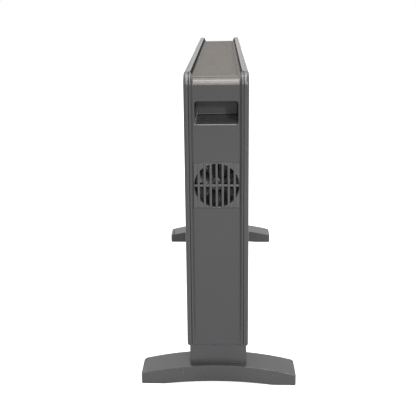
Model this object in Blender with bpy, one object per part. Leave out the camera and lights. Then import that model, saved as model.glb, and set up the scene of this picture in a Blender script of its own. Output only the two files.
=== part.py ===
"""Slim convector heater with a side fan, built as separate pieces.

Metres, +Z up. X runs along the heater, with the fan end at +X. The front faces -Y.
The origin lies on the floor under the middle of the body.
"""

import math

import bmesh
import bpy
from mathutils import Vector

MM = 0.001

# Body: the box that the panels and end caps make
BODY_LENGTH = 726 * MM
BODY_THICKNESS = 82 * MM
BODY_HEIGHT = 371.5 * MM
BODY_CLEARANCE = 76.5 * MM
TOP_CORNER_RADIUS = 17 * MM
BOTTOM_CORNER_RADIUS = 9 * MM
LEAST_RADIUS = 0.5 * MM

# Clearances shared by every piece
FIT_GAP = 0.3 * MM
CUT_OVERRUN = 2 * MM
HOLE_PLAY = 0.3 * MM

# Panels: pressed sheet with a rolled edge, a flange and a turned-in hem
PANEL_SHEET = 0.9 * MM
PANEL_ROLL_RADIUS = 3 * MM
PANEL_END_FLANGE = 6 * MM
PANEL_RIM_FLANGE = 8.5 * MM
PANEL_RIM_STEP = 2.5 * MM
PANEL_HEM = 8 * MM

# End caps: moulded, with raised lips round a recessed field
CAP_SETBACK = 0.6 * MM
CAP_LIP_WIDTH = 2.6 * MM
CAP_SLOPE_WIDTH = 2.7 * MM
CAP_FIELD_DEPTH = 3 * MM
CAP_FIELD_RADIUS = 8.9 * MM
CAP_WALL = 2.2 * MM
CAP_CROWN_WALL = 1.6 * MM
CAP_CHEEK = 2.5 * MM
CAP_FLOOR = 2.5 * MM
CAP_DEPTH = 19.4 * MM
CAP_RUNOUT = 0.5 * MM

# Hand-grip pockets
GRIP_WIDTH = 54.7 * MM
GRIP_HEIGHT = 28.4 * MM
GRIP_DEPTH = 41 * MM
GRIP_DROP = 36.5 * MM
GRIP_CORNER_RADIUS = 3 * MM
GRIP_FLARE = 1.5 * MM
GRIP_FLOOR_RISE = 5.6 * MM
GRIP_WALL = 2.2 * MM

# Fan grille: a square insert with a round hole behind upright ribs
FAN_AXIS_DROP = 145.2 * MM
GRILLE_SIDE = 59.1 * MM
GRILLE_PLATE = 2.2 * MM
GRILLE_HOLE_DIAMETER = 57.8 * MM
GRILLE_RIB_WIDTH = 3.2 * MM
GRILLE_RIB_PITCH = 7.7 * MM
GRILLE_RIB_RISE = 0.8 * MM
GRILLE_RIB_COUNT = 7
GRILLE_BAR_HEIGHT = 2.9 * MM
GRILLE_BAR_SETBACK = 0.3 * MM
GRILLE_FLANGE = 1.6 * MM
GRILLE_FLANGE_LAP = 1.4 * MM

# Fan shroud
SHROUD_WIDTH = 61 * MM
SHROUD_HEIGHT = 84 * MM
SHROUD_FLANGE = 2.2 * MM
SHROUD_BORE_DIAMETER = 57.4 * MM
SHROUD_WALL = 1.6 * MM
SHROUD_LENGTH = 20 * MM
SHROUD_SCREW_RISE = 37.5 * MM
SHROUD_BOSS_DIAMETER = 8 * MM

# Impeller, rotor and shaft
IMPELLER_HUB_DIAMETER = 19 * MM
IMPELLER_HUB_LENGTH = 13 * MM
IMPELLER_NOSE_RADIUS = 3 * MM
IMPELLER_TIP_RADIUS = 25.5 * MM
IMPELLER_BLADE_COUNT = 7
IMPELLER_BLADE_THICKNESS = 1.5 * MM
IMPELLER_ROOT_CHORD = 13 * MM
IMPELLER_TIP_CHORD = 20 * MM
IMPELLER_ROOT_SINK = 1.5 * MM
IMPELLER_BACK_GAP = 5 * MM
IMPELLER_BORE_DEPTH = 10 * MM
IMPELLER_ROOT_PITCH_DEG = 52
IMPELLER_TIP_PITCH_DEG = 28
FAN_SHAFT_DIAMETER = 3 * MM
FAN_SHAFT_PLAY = 0.08 * MM
ROTOR_DIAMETER = 22.4 * MM
ROTOR_END_GAP = 1 * MM
FAN_SHAFT_TAIL = 4 * MM

# Fan bracket: a strap bent round the shroud
BRACKET_SHEET = 1.5 * MM
BRACKET_STRAP_WIDTH = 16 * MM
BRACKET_RING_GAP = 2.5 * MM
BRACKET_LEG_GAP = 1.2 * MM
BRACKET_FOOT_REACH = 8 * MM

# Fan motor: a shaded pole core with its coil on the front leg
MOTOR_HEIGHT = 46 * MM
MOTOR_CORE_LENGTH = 14 * MM
MOTOR_PLAIN_SIDE = 21 * MM
MOTOR_COIL_SIDE = 30 * MM
MOTOR_BORE_DIAMETER = 24 * MM
MOTOR_WINDOW_HEIGHT = 27 * MM
MOTOR_WINDOW_OFFSET = 14.5 * MM
MOTOR_LEG_WIDTH = 7 * MM
MOTOR_COIL_HEIGHT = 24 * MM
MOTOR_COIL_WALL = 5 * MM
MOTOR_SCREW_SPREAD = 18 * MM
BEARING_SHEET = 1.5 * MM
BEARING_STRIP_WIDTH = 11 * MM
BEARING_BUSH_DIAMETER = 9 * MM
BEARING_BUSH_REACH = 2.6 * MM

# Screws
FOOT_SCREW_DIAMETER = 4 * MM
FOOT_SCREW_REACH = 5 * MM
FOOT_SCREW_SPREAD = 20 * MM
CAP_SCREW_DIAMETER = 3 * MM
CAP_SCREW_INSET = 13 * MM
CAP_SCREW_REACH = 3 * MM
PANEL_SCREW_DIAMETER = 3 * MM
PANEL_SCREW_INSET = 13.5 * MM
PANEL_SCREW_REACH = 1 * MM
PANEL_SCREW_LOW = 30 * MM
PANEL_SCREW_HIGH = 285 * MM
PANEL_BOSS_DIAMETER = 8 * MM
SHROUD_SCREW_DIAMETER = 2.5 * MM
MOTOR_SCREW_DIAMETER = 2.8 * MM
MOTOR_SCREW_REACH = 1.5 * MM
SCREW_HEAD_WIDTH_SHARE = 1.9
SCREW_HEAD_HEIGHT_SHARE = 0.6
SCREW_HEAD_TOP_SHARE = 0.7
SCREW_SLOT_WIDTH_SHARE = 0.24
SCREW_SLOT_LENGTH_SHARE = 1.4
SCREW_SLOT_DEPTH_SHARE = 0.2

# Top outlet grille: slotted sheet, stepped down at its long edges
TOP_GRILLE_DROP = 7.5 * MM
TOP_GRILLE_SHEET = 0.9 * MM
TOP_GRILLE_SIDE_GAP = 1.1 * MM
TOP_GRILLE_LEDGE_WIDTH = 5.6 * MM
TOP_SLOT_LENGTH = 59 * MM
TOP_SLOT_WIDTH = 4 * MM
TOP_SLOT_PITCH = 10 * MM
TOP_SLOT_END_MARGIN = 14 * MM

# Bottom plate: inlet slots between turned-up sides
BOTTOM_SHEET = 1 * MM
BOTTOM_SIDE_HEIGHT = 12 * MM
BOTTOM_TUCK = 9 * MM
BOTTOM_SLOT_LENGTH = 40 * MM
BOTTOM_SLOT_WIDTH = 4 * MM
BOTTOM_SLOT_PITCH = 15 * MM
BOTTOM_SLOT_END_SPACE = 153 * MM

# Feet: arched mouldings, each with a neck that meets the body
FOOT_SPAN = 220 * MM
FOOT_DEPTH = 45.4 * MM
FOOT_INSET = 37 * MM
FOOT_END_HEIGHT = 15.6 * MM
FOOT_CROWN_HEIGHT = 29.4 * MM
FOOT_PAD_LENGTH = 33 * MM
FOOT_ARCH_RISE = 5 * MM
FOOT_WALL = 3 * MM
FOOT_OUTER_CORNER = 2.5 * MM
FOOT_INNER_CORNER = 6 * MM
NECK_TOP_WIDTH = 79.2 * MM
NECK_BASE_WIDTH = 81 * MM
NECK_DEPTH = 26.4 * MM
NECK_CORNER_RADIUS = 2 * MM
NECK_TONGUE_WIDTH = 62 * MM
NECK_TONGUE_DEPTH = 21 * MM

# Heating elements, their insulators and brackets
ELEMENT_END_SPACE = 128 * MM
ELEMENT_RADIUS = 20 * MM
ELEMENT_CORE_RADIUS = 8 * MM
ELEMENT_FIN_THICKNESS = 1.6 * MM
ELEMENT_FIN_COUNT = 8
ELEMENT_ROD_DIAMETER = 8 * MM
ELEMENT_ROD_REACH = 24 * MM
ELEMENT_LOW_RISE = 52 * MM
ELEMENT_SPACING = 50 * MM
INSULATOR_DIAMETER = 14 * MM
INSULATOR_COLLAR_DIAMETER = 20 * MM
INSULATOR_COLLAR = 4 * MM
INSULATOR_LENGTH = 14 * MM
INSULATOR_GAP = 2 * MM
STAND_SHEET = 1.2 * MM
STAND_WIDTH = 40 * MM
STAND_HEIGHT = 150 * MM
STAND_FOOT = 14 * MM

# Heat shield behind the elements
SHIELD_SHEET = 0.8 * MM
SHIELD_END_SPACE = 113 * MM
SHIELD_HEIGHT = 230 * MM
SHIELD_FOOT = 7.5 * MM
SHIELD_BACK_GAP = 1.2 * MM

# Thermal cut-out on the control end's element stand
CUTOUT_DIAMETER = 16 * MM
CUTOUT_BODY = 8 * MM
CUTOUT_FLANGE_WIDTH = 30 * MM
CUTOUT_FLANGE_HEIGHT = 8 * MM
CUTOUT_FLANGE = 1.2 * MM
CUTOUT_RISE = 132 * MM

# Control dish, thermostat and knob
DISH_SIDE = 52 * MM
DISH_DEPTH = 12 * MM
DISH_CORNER_RADIUS = 4 * MM
DISH_WALL = 2.2 * MM
KNOB_DIAMETER = 38 * MM
KNOB_SKIRT = 4 * MM
KNOB_GRIP_WIDTH = 9 * MM
KNOB_SETBACK = 1 * MM
KNOB_LIFT = 0.8 * MM
KNOB_BORE_DEPTH = 9 * MM
KNOB_SKIRT_BEVEL = 1 * MM
THERMOSTAT_SHAFT_DIAMETER = 6 * MM
THERMOSTAT_SHAFT_PLAY = 0.15 * MM
THERMOSTAT_BUSH_DIAMETER = 9 * MM
THERMOSTAT_WIDTH = 34 * MM
THERMOSTAT_HEIGHT = 30 * MM
THERMOSTAT_DEPTH = 22 * MM
THERMOSTAT_SOCKET_DEPTH = 10 * MM

# Rocker switches in a row under the dish
SWITCH_DROP = 212 * MM
SWITCH_SPREAD = 18.5 * MM
SWITCH_WIDTH = 13 * MM
SWITCH_HEIGHT = 19 * MM
SWITCH_DEPTH = 15 * MM
SWITCH_BEZEL = 1.2 * MM
SWITCH_BEZEL_LAP = 1.2 * MM
SWITCH_WALL = 0.9 * MM
SWITCH_POCKET_DEPTH = 9.4 * MM
ROCKER_SIDE_PLAY = 0.4 * MM
ROCKER_HALF_LENGTH = 7.8 * MM
ROCKER_CREST = 3.2 * MM
ROCKER_VALLEY = 1.6 * MM
ROCKER_ROOT_RADIUS = 3.6 * MM
ROCKER_PIVOT_SINK = 2.3 * MM
ROCKER_TILT_DEG = 9

# Indicator lens and cord inlet
LENS_DROP = 108 * MM
LENS_DIAMETER = 6 * MM
LENS_FLANGE_DIAMETER = 8 * MM
LENS_RISE = 1.2 * MM
LENS_LENGTH = 9 * MM
INLET_RISE = 36.5 * MM
INLET_DIAMETER = 14 * MM
INLET_FLANGE_DIAMETER = 19 * MM
INLET_FLANGE = 1.8 * MM
INLET_BORE_DIAMETER = 7 * MM
INLET_LENGTH = 16 * MM

# Terminal block
TERMINAL_LENGTH = 40 * MM
TERMINAL_WIDTH = 20 * MM
TERMINAL_HEIGHT = 16 * MM
TERMINAL_INSET = 65 * MM
TERMINAL_NOTCH_WIDTH = 5 * MM
TERMINAL_NOTCH_DEPTH = 5 * MM
TERMINAL_NOTCH_COUNT = 3

# Fineness of round shapes
CORNER_STEPS = 5
ROLL_STEPS = 3
ARC_STEPS = 14
ROUND_STEPS = 20
HOLE_STEPS = 12
LARGE_ROUND_STEPS = 36
BLADE_STEPS = 3
SHARP_ANGLE_DEG = 35

# Finishes: colour, roughness, metallic
FINISHES = {
    "dark_paint": ((0.092, 0.092, 0.095), 0.42, 0.0),
    "dark_plastic": ((0.088, 0.088, 0.092), 0.45, 0.0),
    "grille_paint": ((0.11, 0.107, 0.102), 0.42, 0.0),
    "black_plastic": ((0.02, 0.02, 0.021), 0.5, 0.0),
    "zinc": ((0.56, 0.57, 0.58), 0.38, 0.9),
    "bright_aluminium": ((0.74, 0.74, 0.75), 0.32, 0.95),
    "ceramic": ((0.82, 0.78, 0.7), 0.55, 0.0),
    "lamination_steel": ((0.24, 0.24, 0.25), 0.5, 0.8),
    "coil_tape": ((0.5, 0.33, 0.08), 0.5, 0.0),
    "red_lens": ((0.6, 0.03, 0.02), 0.15, 0.0),
    "screw_steel": ((0.5, 0.5, 0.51), 0.35, 0.95),
}

# Places worked out from the sizes above
BODY_END = BODY_LENGTH / 2
BODY_FACE = BODY_THICKNESS / 2
BODY_BOTTOM = BODY_CLEARANCE
BODY_TOP = BODY_CLEARANCE + BODY_HEIGHT

CAP_END = BODY_END - CAP_SETBACK
CAP_TOP = BODY_TOP - CAP_SETBACK
CAP_BOTTOM = BODY_BOTTOM + CAP_SETBACK
CAP_HALF_WIDTH = BODY_FACE - PANEL_END_FLANGE - FIT_GAP
CAP_INNER_HALF = CAP_HALF_WIDTH - CAP_CHEEK
CAP_BACK = CAP_END - CAP_DEPTH
CAP_FIELD = CAP_END - CAP_FIELD_DEPTH
CAP_INSIDE = CAP_FIELD - CAP_WALL
CAP_LIP_INNER = CAP_HALF_WIDTH - CAP_LIP_WIDTH
CAP_TOP_RADIUS = TOP_CORNER_RADIUS - CAP_SETBACK
CAP_BOTTOM_RADIUS = BOTTOM_CORNER_RADIUS - CAP_SETBACK
CAP_CROWN_EDGE = CAP_END - CAP_TOP_RADIUS
CAP_FLOOR_TOP = CAP_BOTTOM + CAP_FLOOR

GRIP_TOP = BODY_TOP - GRIP_DROP
GRIP_MIDDLE = GRIP_TOP - GRIP_HEIGHT / 2

TOP_PLATE = BODY_TOP - TOP_GRILLE_DROP
RIM_HEM_EDGE = BODY_TOP - PANEL_HEM
TOP_LEDGE = RIM_HEM_EDGE - FIT_GAP
TOP_HALF_WIDTH = BODY_FACE - PANEL_RIM_FLANGE - TOP_GRILLE_SIDE_GAP
CAP_SHOULDER = TOP_LEDGE - TOP_GRILLE_SHEET - FIT_GAP

FAN_HEIGHT = BODY_TOP - FAN_AXIS_DROP
GRILLE_BACK = CAP_INSIDE - FIT_GAP - GRILLE_FLANGE
SHROUD_FRONT = GRILLE_BACK - FIT_GAP
SHROUD_FLANGE_BACK = SHROUD_FRONT - SHROUD_FLANGE
SHROUD_BACK = SHROUD_FRONT - SHROUD_LENGTH
SHROUD_RADIUS = SHROUD_BORE_DIAMETER / 2 + SHROUD_WALL
BRACKET_PLATE_FRONT = SHROUD_BACK - BRACKET_RING_GAP
BRACKET_PLATE_BACK = BRACKET_PLATE_FRONT - BRACKET_SHEET
BRACKET_FOOT_FRONT = SHROUD_FLANGE_BACK - FIT_GAP
BRACKET_LEG_INNER = SHROUD_RADIUS + BRACKET_LEG_GAP
BEARING_FRONT_FACE = BRACKET_PLATE_BACK - FIT_GAP
CORE_FRONT = BEARING_FRONT_FACE - BEARING_SHEET - FIT_GAP
CORE_BACK = CORE_FRONT - MOTOR_CORE_LENGTH
BEARING_REAR_FACE = CORE_BACK - FIT_GAP
MOTOR_BACK = BEARING_REAR_FACE - BEARING_SHEET
IMPELLER_BACK = SHROUD_BACK + IMPELLER_BACK_GAP
IMPELLER_FRONT = IMPELLER_BACK + IMPELLER_HUB_LENGTH

BOTTOM_UNDERSIDE = CAP_FLOOR_TOP + FIT_GAP
BOTTOM_TOP = BOTTOM_UNDERSIDE + BOTTOM_SHEET
BOTTOM_HALF_WIDTH = BODY_FACE - PANEL_END_FLANGE - FIT_GAP
BOTTOM_END = CAP_BACK + BOTTOM_TUCK

FOOT_CENTRE = BODY_END - FOOT_INSET - FOOT_DEPTH / 2
NECK_TOP = BODY_BOTTOM - FIT_GAP
TONGUE_TOP = BOTTOM_UNDERSIDE - FIT_GAP

STAND_BASE = BOTTOM_TOP + FIT_GAP
ELEMENT_LOW = BOTTOM_TOP + ELEMENT_LOW_RISE
ELEMENT_HIGH = ELEMENT_LOW + ELEMENT_SPACING
ELEMENT_END = BODY_END - ELEMENT_END_SPACE
COLLAR_FACE = ELEMENT_END + INSULATOR_GAP
STAND_FACE = COLLAR_FACE + INSULATOR_COLLAR + FIT_GAP

SCREW_X = BODY_END - PANEL_SCREW_INSET
PANEL_SCREW_TOP = BODY_FACE - FIT_GAP
CAP_SCREW_TOP = CAP_BOTTOM + FIT_GAP
DISH_FLOOR = CAP_FIELD - DISH_DEPTH
DISH_BACK = DISH_FLOOR - DISH_WALL
KNOB_BACK = DISH_FLOOR + KNOB_LIFT
KNOB_FRONT = BODY_END - KNOB_SETBACK
SWITCH_LEVEL = BODY_TOP - SWITCH_DROP
SWITCH_FACE = CAP_FIELD + SWITCH_BEZEL
ROCKER_PIVOT = SWITCH_FACE - ROCKER_PIVOT_SINK
TERMINAL_CENTRE = -(BODY_END - TERMINAL_INSET)
FAN_END = 1
CONTROL_END = -1


def clear_scene():
    """Remove whatever the scene holds."""
    for item in list(bpy.data.objects):
        bpy.data.objects.remove(item, do_unlink=True)


# Shapes


def place(axis, first, second, along):
    """Return the point whose plane coordinates and distance along `axis` are given."""
    if axis == "X":
        return Vector((along, first, second))
    if axis == "Y":
        return Vector((first, along, second))
    return Vector((first, second, along))


def arc(centre, radius, start_deg, sweep_deg, steps):
    """Return the points of an arc, both ends included."""
    points = []
    for step in range(steps + 1):
        angle = math.radians(start_deg + sweep_deg * step / steps)
        points.append((centre[0] + radius * math.cos(angle), centre[1] + radius * math.sin(angle)))
    return points


def circle(centre, radius, steps):
    """Return the points of a full circle."""
    return arc(centre, radius, 0, 360, steps)[:-1]


def rectangle(centre, width, height):
    """Return a rectangle's four corners."""
    right, up = width / 2, height / 2
    return [(centre[0] + x, centre[1] + y) for x, y in ((-right, -up), (right, -up), (right, up), (-right, up))]


def rounded_rectangle(centre, width, height, radius, steps=CORNER_STEPS):
    """Return a rectangle's outline with its corners rounded."""
    right = width / 2 - radius
    up = height / 2 - radius
    corners = ((right, -up, -90), (right, up, 0), (-right, up, 90), (-right, -up, 180))
    points = []
    for across, rise, start in corners:
        points += arc((centre[0] + across, centre[1] + rise), radius, start, 90, steps)
    return points


def prism(points, axis, start, end):
    """Return a closed solid: the outline pushed along an axis from start to end."""
    shape = bmesh.new()
    face = shape.faces.new([shape.verts.new(place(axis, u, v, start)) for u, v in points])
    pushed = bmesh.ops.extrude_face_region(shape, geom=[face])["geom"]
    moved = [item for item in pushed if isinstance(item, bmesh.types.BMVert)]
    bmesh.ops.translate(shape, verts=moved, vec=place(axis, 0, 0, end - start))
    return shape


def block(low, high):
    """Return a box between two opposite corners."""
    outline = ((low[0], low[1]), (high[0], low[1]), (high[0], high[1]), (low[0], high[1]))
    return prism(outline, "Z", low[2], high[2])


def rod(axis, centre, radius, start, end, steps=HOLE_STEPS):
    """Return a cylinder along an axis."""
    return prism(circle(centre, radius, steps), axis, start, end)


def loft(rings):
    """Return a closed solid through rings that have equal numbers of points."""
    shape = bmesh.new()
    made = [[shape.verts.new(point) for point in ring] for ring in rings]
    for near, far in zip(made, made[1:]):
        for index in range(len(near)):
            after = (index + 1) % len(near)
            shape.faces.new((near[index], near[after], far[after], far[index]))
    shape.faces.new(made[0])
    shape.faces.new(made[-1])
    return shape


def turned(profile, axis, centre, steps, closed=False):
    """Spin a profile of (radius, distance along the axis) points into a solid."""
    shape = bmesh.new()
    across = centre[0], centre[1]
    verts = [shape.verts.new(place(axis, across[0] + radius, across[1], along)) for radius, along in profile]
    edges = [shape.edges.new(pair) for pair in zip(verts, verts[1:])]
    if closed:
        edges.append(shape.edges.new((verts[-1], verts[0])))
    bmesh.ops.spin(
        shape, geom=verts + edges, cent=place(axis, across[0], across[1], 0),
        axis=place(axis, 0, 0, 1), angle=math.tau, steps=steps, use_merge=True,
    )
    bmesh.ops.remove_doubles(shape, verts=shape.verts, dist=FIT_GAP / 100)
    return shape


def gathered(pieces):
    """Return one mesh that holds several closed bodies side by side."""
    whole = bmesh.new()
    for piece in pieces:
        scratch = bpy.data.meshes.new("scratch")
        piece.to_mesh(scratch)
        piece.free()
        whole.from_mesh(scratch)
        bpy.data.meshes.remove(scratch)
    return whole


# Objects


def finish_material(name, finish):
    """Return a new Principled material in one of the finishes."""
    colour, roughness, metallic = FINISHES[finish]
    made = bpy.data.materials.new(f"{name}_{finish}")
    made.use_nodes = True
    shader = made.node_tree.nodes["Principled BSDF"]
    shader.inputs["Base Color"].default_value = (*colour, 1)
    shader.inputs["Roughness"].default_value = roughness
    shader.inputs["Metallic"].default_value = metallic
    return made


def add_object(name, shape, origin=(0, 0, 0)):
    """Link a mesh made from a bmesh, with its origin at the given point."""
    bmesh.ops.recalc_face_normals(shape, faces=shape.faces)
    bmesh.ops.translate(shape, verts=shape.verts, vec=-Vector(origin))
    mesh = bpy.data.meshes.new(name)
    shape.to_mesh(mesh)
    shape.free()
    made = bpy.data.objects.new(name, mesh)
    made.location = origin
    bpy.context.scene.collection.objects.link(made)
    return made


def add_piece(name, shape, finish, origin=(0, 0, 0), smooth=False):
    """Add a sub-part in its finish."""
    made = add_object(name, shape, origin)
    made.data.materials.append(finish_material(name, finish))
    if smooth:
        made.data.shade_smooth()
        made.data.set_sharp_from_angle(angle=math.radians(SHARP_ANGLE_DEG))
    return made


def combine(piece, shape, operation):
    """Apply a tool shape to a piece with a Boolean modifier."""
    count = len(piece.modifiers)
    tool = add_object(f"{piece.name}_tool_{count}", shape)
    tool.hide_render = True
    tool.display_type = "WIRE"
    if piece.parent:
        tool.parent = piece.parent
    change = piece.modifiers.new(f"{operation.lower()}_{count}", "BOOLEAN")
    change.operation = operation
    change.solver = "EXACT"
    change.object = tool


def cut(piece, *shapes):
    """Cut separate shapes out of a piece."""
    combine(piece, gathered(shapes), "DIFFERENCE")


def join(piece, *shapes):
    """Fuse separate shapes onto a piece."""
    combine(piece, gathered(shapes), "UNION")


def screw_tip(radius, tip, direction):
    """Return the profile of a screw's end, from its shank to its axis."""
    return [(radius, tip - direction * radius), (radius / 2, tip), (0, tip)]


def add_screw(name, axis, centre, seat, direction, diameter, length):
    """Add a pan-head screw whose head seats at `seat` and whose shank runs along `direction`."""
    radius = diameter / 2
    head = radius * SCREW_HEAD_WIDTH_SHARE
    top = seat - direction * diameter * SCREW_HEAD_HEIGHT_SHARE
    profile = [(0, top), (head * SCREW_HEAD_TOP_SHARE, top), (head, (top + seat) / 2), (head, seat), (radius, seat)]
    profile += screw_tip(radius, seat + direction * length, direction)
    screw = add_piece(name, turned(profile, axis, centre, HOLE_STEPS), "screw_steel", smooth=True)
    slot_screw(screw, axis, centre, top, direction, diameter)


def add_flush_screw(name, axis, centre, top, direction, diameter, length):
    """Add a countersunk screw whose flat head lies at `top`."""
    radius = diameter / 2
    head = radius * SCREW_HEAD_WIDTH_SHARE
    profile = [(0, top), (head, top), (radius, top + direction * (head - radius))]
    profile += screw_tip(radius, top + direction * length, direction)
    screw = add_piece(name, turned(profile, axis, centre, HOLE_STEPS), "screw_steel", smooth=True)
    slot_screw(screw, axis, centre, top, direction, diameter)


def slot_screw(screw, axis, centre, top, direction, diameter):
    """Cut the driver's slot into a screw's head."""
    length = diameter / 2 * SCREW_HEAD_WIDTH_SHARE * SCREW_SLOT_LENGTH_SHARE
    floor = top + direction * diameter * SCREW_SLOT_DEPTH_SHARE
    outline = rectangle(centre, length, diameter * SCREW_SLOT_WIDTH_SHARE)
    cut(screw, prism(outline, axis, top - direction * CUT_OVERRUN, floor))


def flush_hole(axis, centre, top, direction, diameter, depth):
    """Return a clearance hole with a conical seat for a flush screw's head."""
    radius = diameter / 2
    head = radius * SCREW_HEAD_WIDTH_SHARE + HOLE_PLAY
    shank = radius + HOLE_PLAY
    above = top - direction * CUT_OVERRUN
    seat = top + direction * (head - shank)
    below = top + direction * depth
    profile = ((0, above), (head, above), (head, top), (shank, seat), (shank, below), (0, below))
    return turned(profile, axis, centre, HOLE_STEPS)


# Panels


def panel_ring(side, inset, end_depth, rim_depth):
    """Return the panel's outline drawn in by inset, at its depth behind the face."""
    end = BODY_END - inset
    bottom = BODY_BOTTOM + inset
    top = BODY_TOP - inset
    low = max(BOTTOM_CORNER_RADIUS - inset, LEAST_RADIUS)
    high = max(TOP_CORNER_RADIUS - inset, LEAST_RADIUS)
    rim_end = BODY_END - TOP_CORNER_RADIUS - PANEL_RIM_STEP
    right = arc((end - low, bottom + low), low, -90, 90, CORNER_STEPS)
    right += arc((end - high, top - high), high, 0, 90, CORNER_STEPS)
    left = [(-x, z) for x, z in reversed(right)]
    rim = [(rim_end, top), (-rim_end, top)]
    y = side * (BODY_FACE - end_depth)
    rim_y = side * (BODY_FACE - rim_depth)
    ring = [Vector((x, y, z)) for x, z in right]
    ring += [Vector((x, rim_y, z)) for x, z in rim]
    ring += [Vector((x, y, z)) for x, z in left]
    return ring


def panel_sections():
    """Return the sheet's section as (inset, depth at the ends, depth at the top rim) points."""
    sections = []
    for step in range(ROLL_STEPS + 1):
        angle = math.radians(90 * step / ROLL_STEPS)
        inset = PANEL_ROLL_RADIUS * (1 - math.sin(angle))
        depth = PANEL_ROLL_RADIUS * (1 - math.cos(angle))
        sections.append((inset, depth, depth))
    inner = PANEL_ROLL_RADIUS - PANEL_SHEET
    end_inner = PANEL_END_FLANGE - PANEL_SHEET
    rim_inner = PANEL_RIM_FLANGE - PANEL_SHEET
    sections.append((0, PANEL_END_FLANGE, PANEL_RIM_FLANGE))
    sections.append((PANEL_HEM, PANEL_END_FLANGE, PANEL_RIM_FLANGE))
    sections.append((PANEL_HEM, end_inner, rim_inner))
    sections.append((PANEL_SHEET, end_inner, rim_inner))
    for step in range(ROLL_STEPS, -1, -1):
        angle = math.radians(90 * step / ROLL_STEPS)
        inset = PANEL_ROLL_RADIUS - inner * math.sin(angle)
        depth = PANEL_ROLL_RADIUS - inner * math.cos(angle)
        sections.append((inset, depth, depth))
    return sections


def build_panel(name, side):
    """Build one pressed panel: its face at the front (-1) or the back (1)."""
    rings = [panel_ring(side, *section) for section in panel_sections()]
    return add_piece(name, loft(rings), "dark_paint", smooth=True)


def build_panels():
    """Build both panels, the rear one drilled for its screws."""
    build_panel("front_panel", -1)
    rear = build_panel("rear_panel", 1)
    cut(rear, *[panel_screw_hole(end, height) for end in (FAN_END, CONTROL_END) for height in panel_screw_heights()])


def panel_screw_heights():
    """Return the heights of the rear panel's screws above the floor."""
    return BODY_BOTTOM + PANEL_SCREW_LOW, BODY_BOTTOM + PANEL_SCREW_HIGH


def panel_screw_hole(end, height):
    """Return the hole for one of the rear panel's screws, through the cap's cheek."""
    depth = BODY_FACE - CAP_INNER_HALF + CUT_OVERRUN
    return flush_hole("Y", (end * SCREW_X, height), PANEL_SCREW_TOP, -1, PANEL_SCREW_DIAMETER, depth)


# End caps


def cap_outline(end):
    """Return the end cap's closed outline in (x, z)."""
    low = CAP_BOTTOM_RADIUS
    high = CAP_TOP_RADIUS
    points = [(CAP_BACK, CAP_BOTTOM)]
    points += arc((CAP_END - low, CAP_BOTTOM + low), low, -90, 90, CORNER_STEPS)
    points += arc((CAP_END - high, CAP_TOP - high), high, 0, 90, CORNER_STEPS)
    points += [(CAP_CROWN_EDGE, CAP_SHOULDER), (CAP_BACK, CAP_SHOULDER)]
    return [(end * x, z) for x, z in points]


def cap_cavity(end):
    """Return the outline of the hollow behind the cap's walls, open at the back."""
    bottom = CAP_FLOOR_TOP
    top = TOP_PLATE - CAP_CROWN_WALL
    low = max(CAP_BOTTOM_RADIUS - CAP_WALL, LEAST_RADIUS)
    high = max(CAP_FIELD_RADIUS - CAP_WALL, LEAST_RADIUS)
    back = CAP_BACK - CUT_OVERRUN
    points = [(back, bottom)]
    points += arc((CAP_INSIDE - low, bottom + low), low, -90, 90, CORNER_STEPS)
    points += arc((CAP_INSIDE - high, top - high), high, 0, 90, CORNER_STEPS)
    points.append((back, top))
    return [(end * x, z) for x, z in points]


def trough_stations():
    """Return (lip, normal, floor) as points in (x, z) along the cap's face, from the crown down."""
    start = CAP_CROWN_EDGE - CUT_OVERRUN
    stations = [((start, CAP_TOP), (0, 1), (start, TOP_PLATE))]
    lip = CAP_END - CAP_TOP_RADIUS, CAP_TOP - CAP_TOP_RADIUS
    floor = CAP_FIELD - CAP_FIELD_RADIUS, TOP_PLATE - CAP_FIELD_RADIUS
    for step in range(CORNER_STEPS + 1):
        angle = math.radians(90 - 90 * step / CORNER_STEPS)
        normal = math.cos(angle), math.sin(angle)
        stations.append((beside(lip, normal, CAP_TOP_RADIUS), normal, beside(floor, normal, CAP_FIELD_RADIUS)))
    lip = CAP_END - CAP_BOTTOM_RADIUS, CAP_BOTTOM + CAP_BOTTOM_RADIUS
    for step in range(CORNER_STEPS + 1):
        share = step / CORNER_STEPS
        angle = math.radians(-90 * share)
        normal = math.cos(angle), math.sin(angle)
        floor_radius = CAP_BOTTOM_RADIUS - CAP_FIELD_DEPTH * (1 - share) + CAP_RUNOUT * share
        stations.append((beside(lip, normal, CAP_BOTTOM_RADIUS), normal, beside(lip, normal, floor_radius)))
    return stations


def beside(point, direction, distance):
    """Return the point at a distance from another, in a direction."""
    return point[0] + distance * direction[0], point[1] + distance * direction[1]


def cap_trough(end):
    """Return the shape that cuts the recessed field between the lips."""
    rings = []
    flare = CAP_LIP_INNER + CAP_SLOPE_WIDTH * CUT_OVERRUN / CAP_FIELD_DEPTH
    for lip, normal, floor in trough_stations():
        depth = (lip[0] - floor[0]) * normal[0] + (lip[1] - floor[1]) * normal[1]
        half = CAP_LIP_INNER - CAP_SLOPE_WIDTH * min(depth / CAP_FIELD_DEPTH, 1)
        x, z = beside(lip, normal, CUT_OVERRUN)
        ring = [Vector((end * x, -flare, z)), Vector((end * floor[0], -half, floor[1]))]
        ring += [Vector((end * floor[0], half, floor[1])), Vector((end * x, flare, z))]
        rings.append(ring)
    return loft(rings)


def grip_ring(end, x, grow, lift=0):
    """Return the pocket's outline at one depth, grown all round, its floor lifted."""
    width = GRIP_WIDTH + 2 * grow
    height = GRIP_HEIGHT + 2 * grow - lift
    middle = GRIP_MIDDLE + lift / 2
    outline = rounded_rectangle((0, middle), width, height, GRIP_CORNER_RADIUS + grow)
    return [Vector((end * x, y, z)) for y, z in outline]


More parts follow.
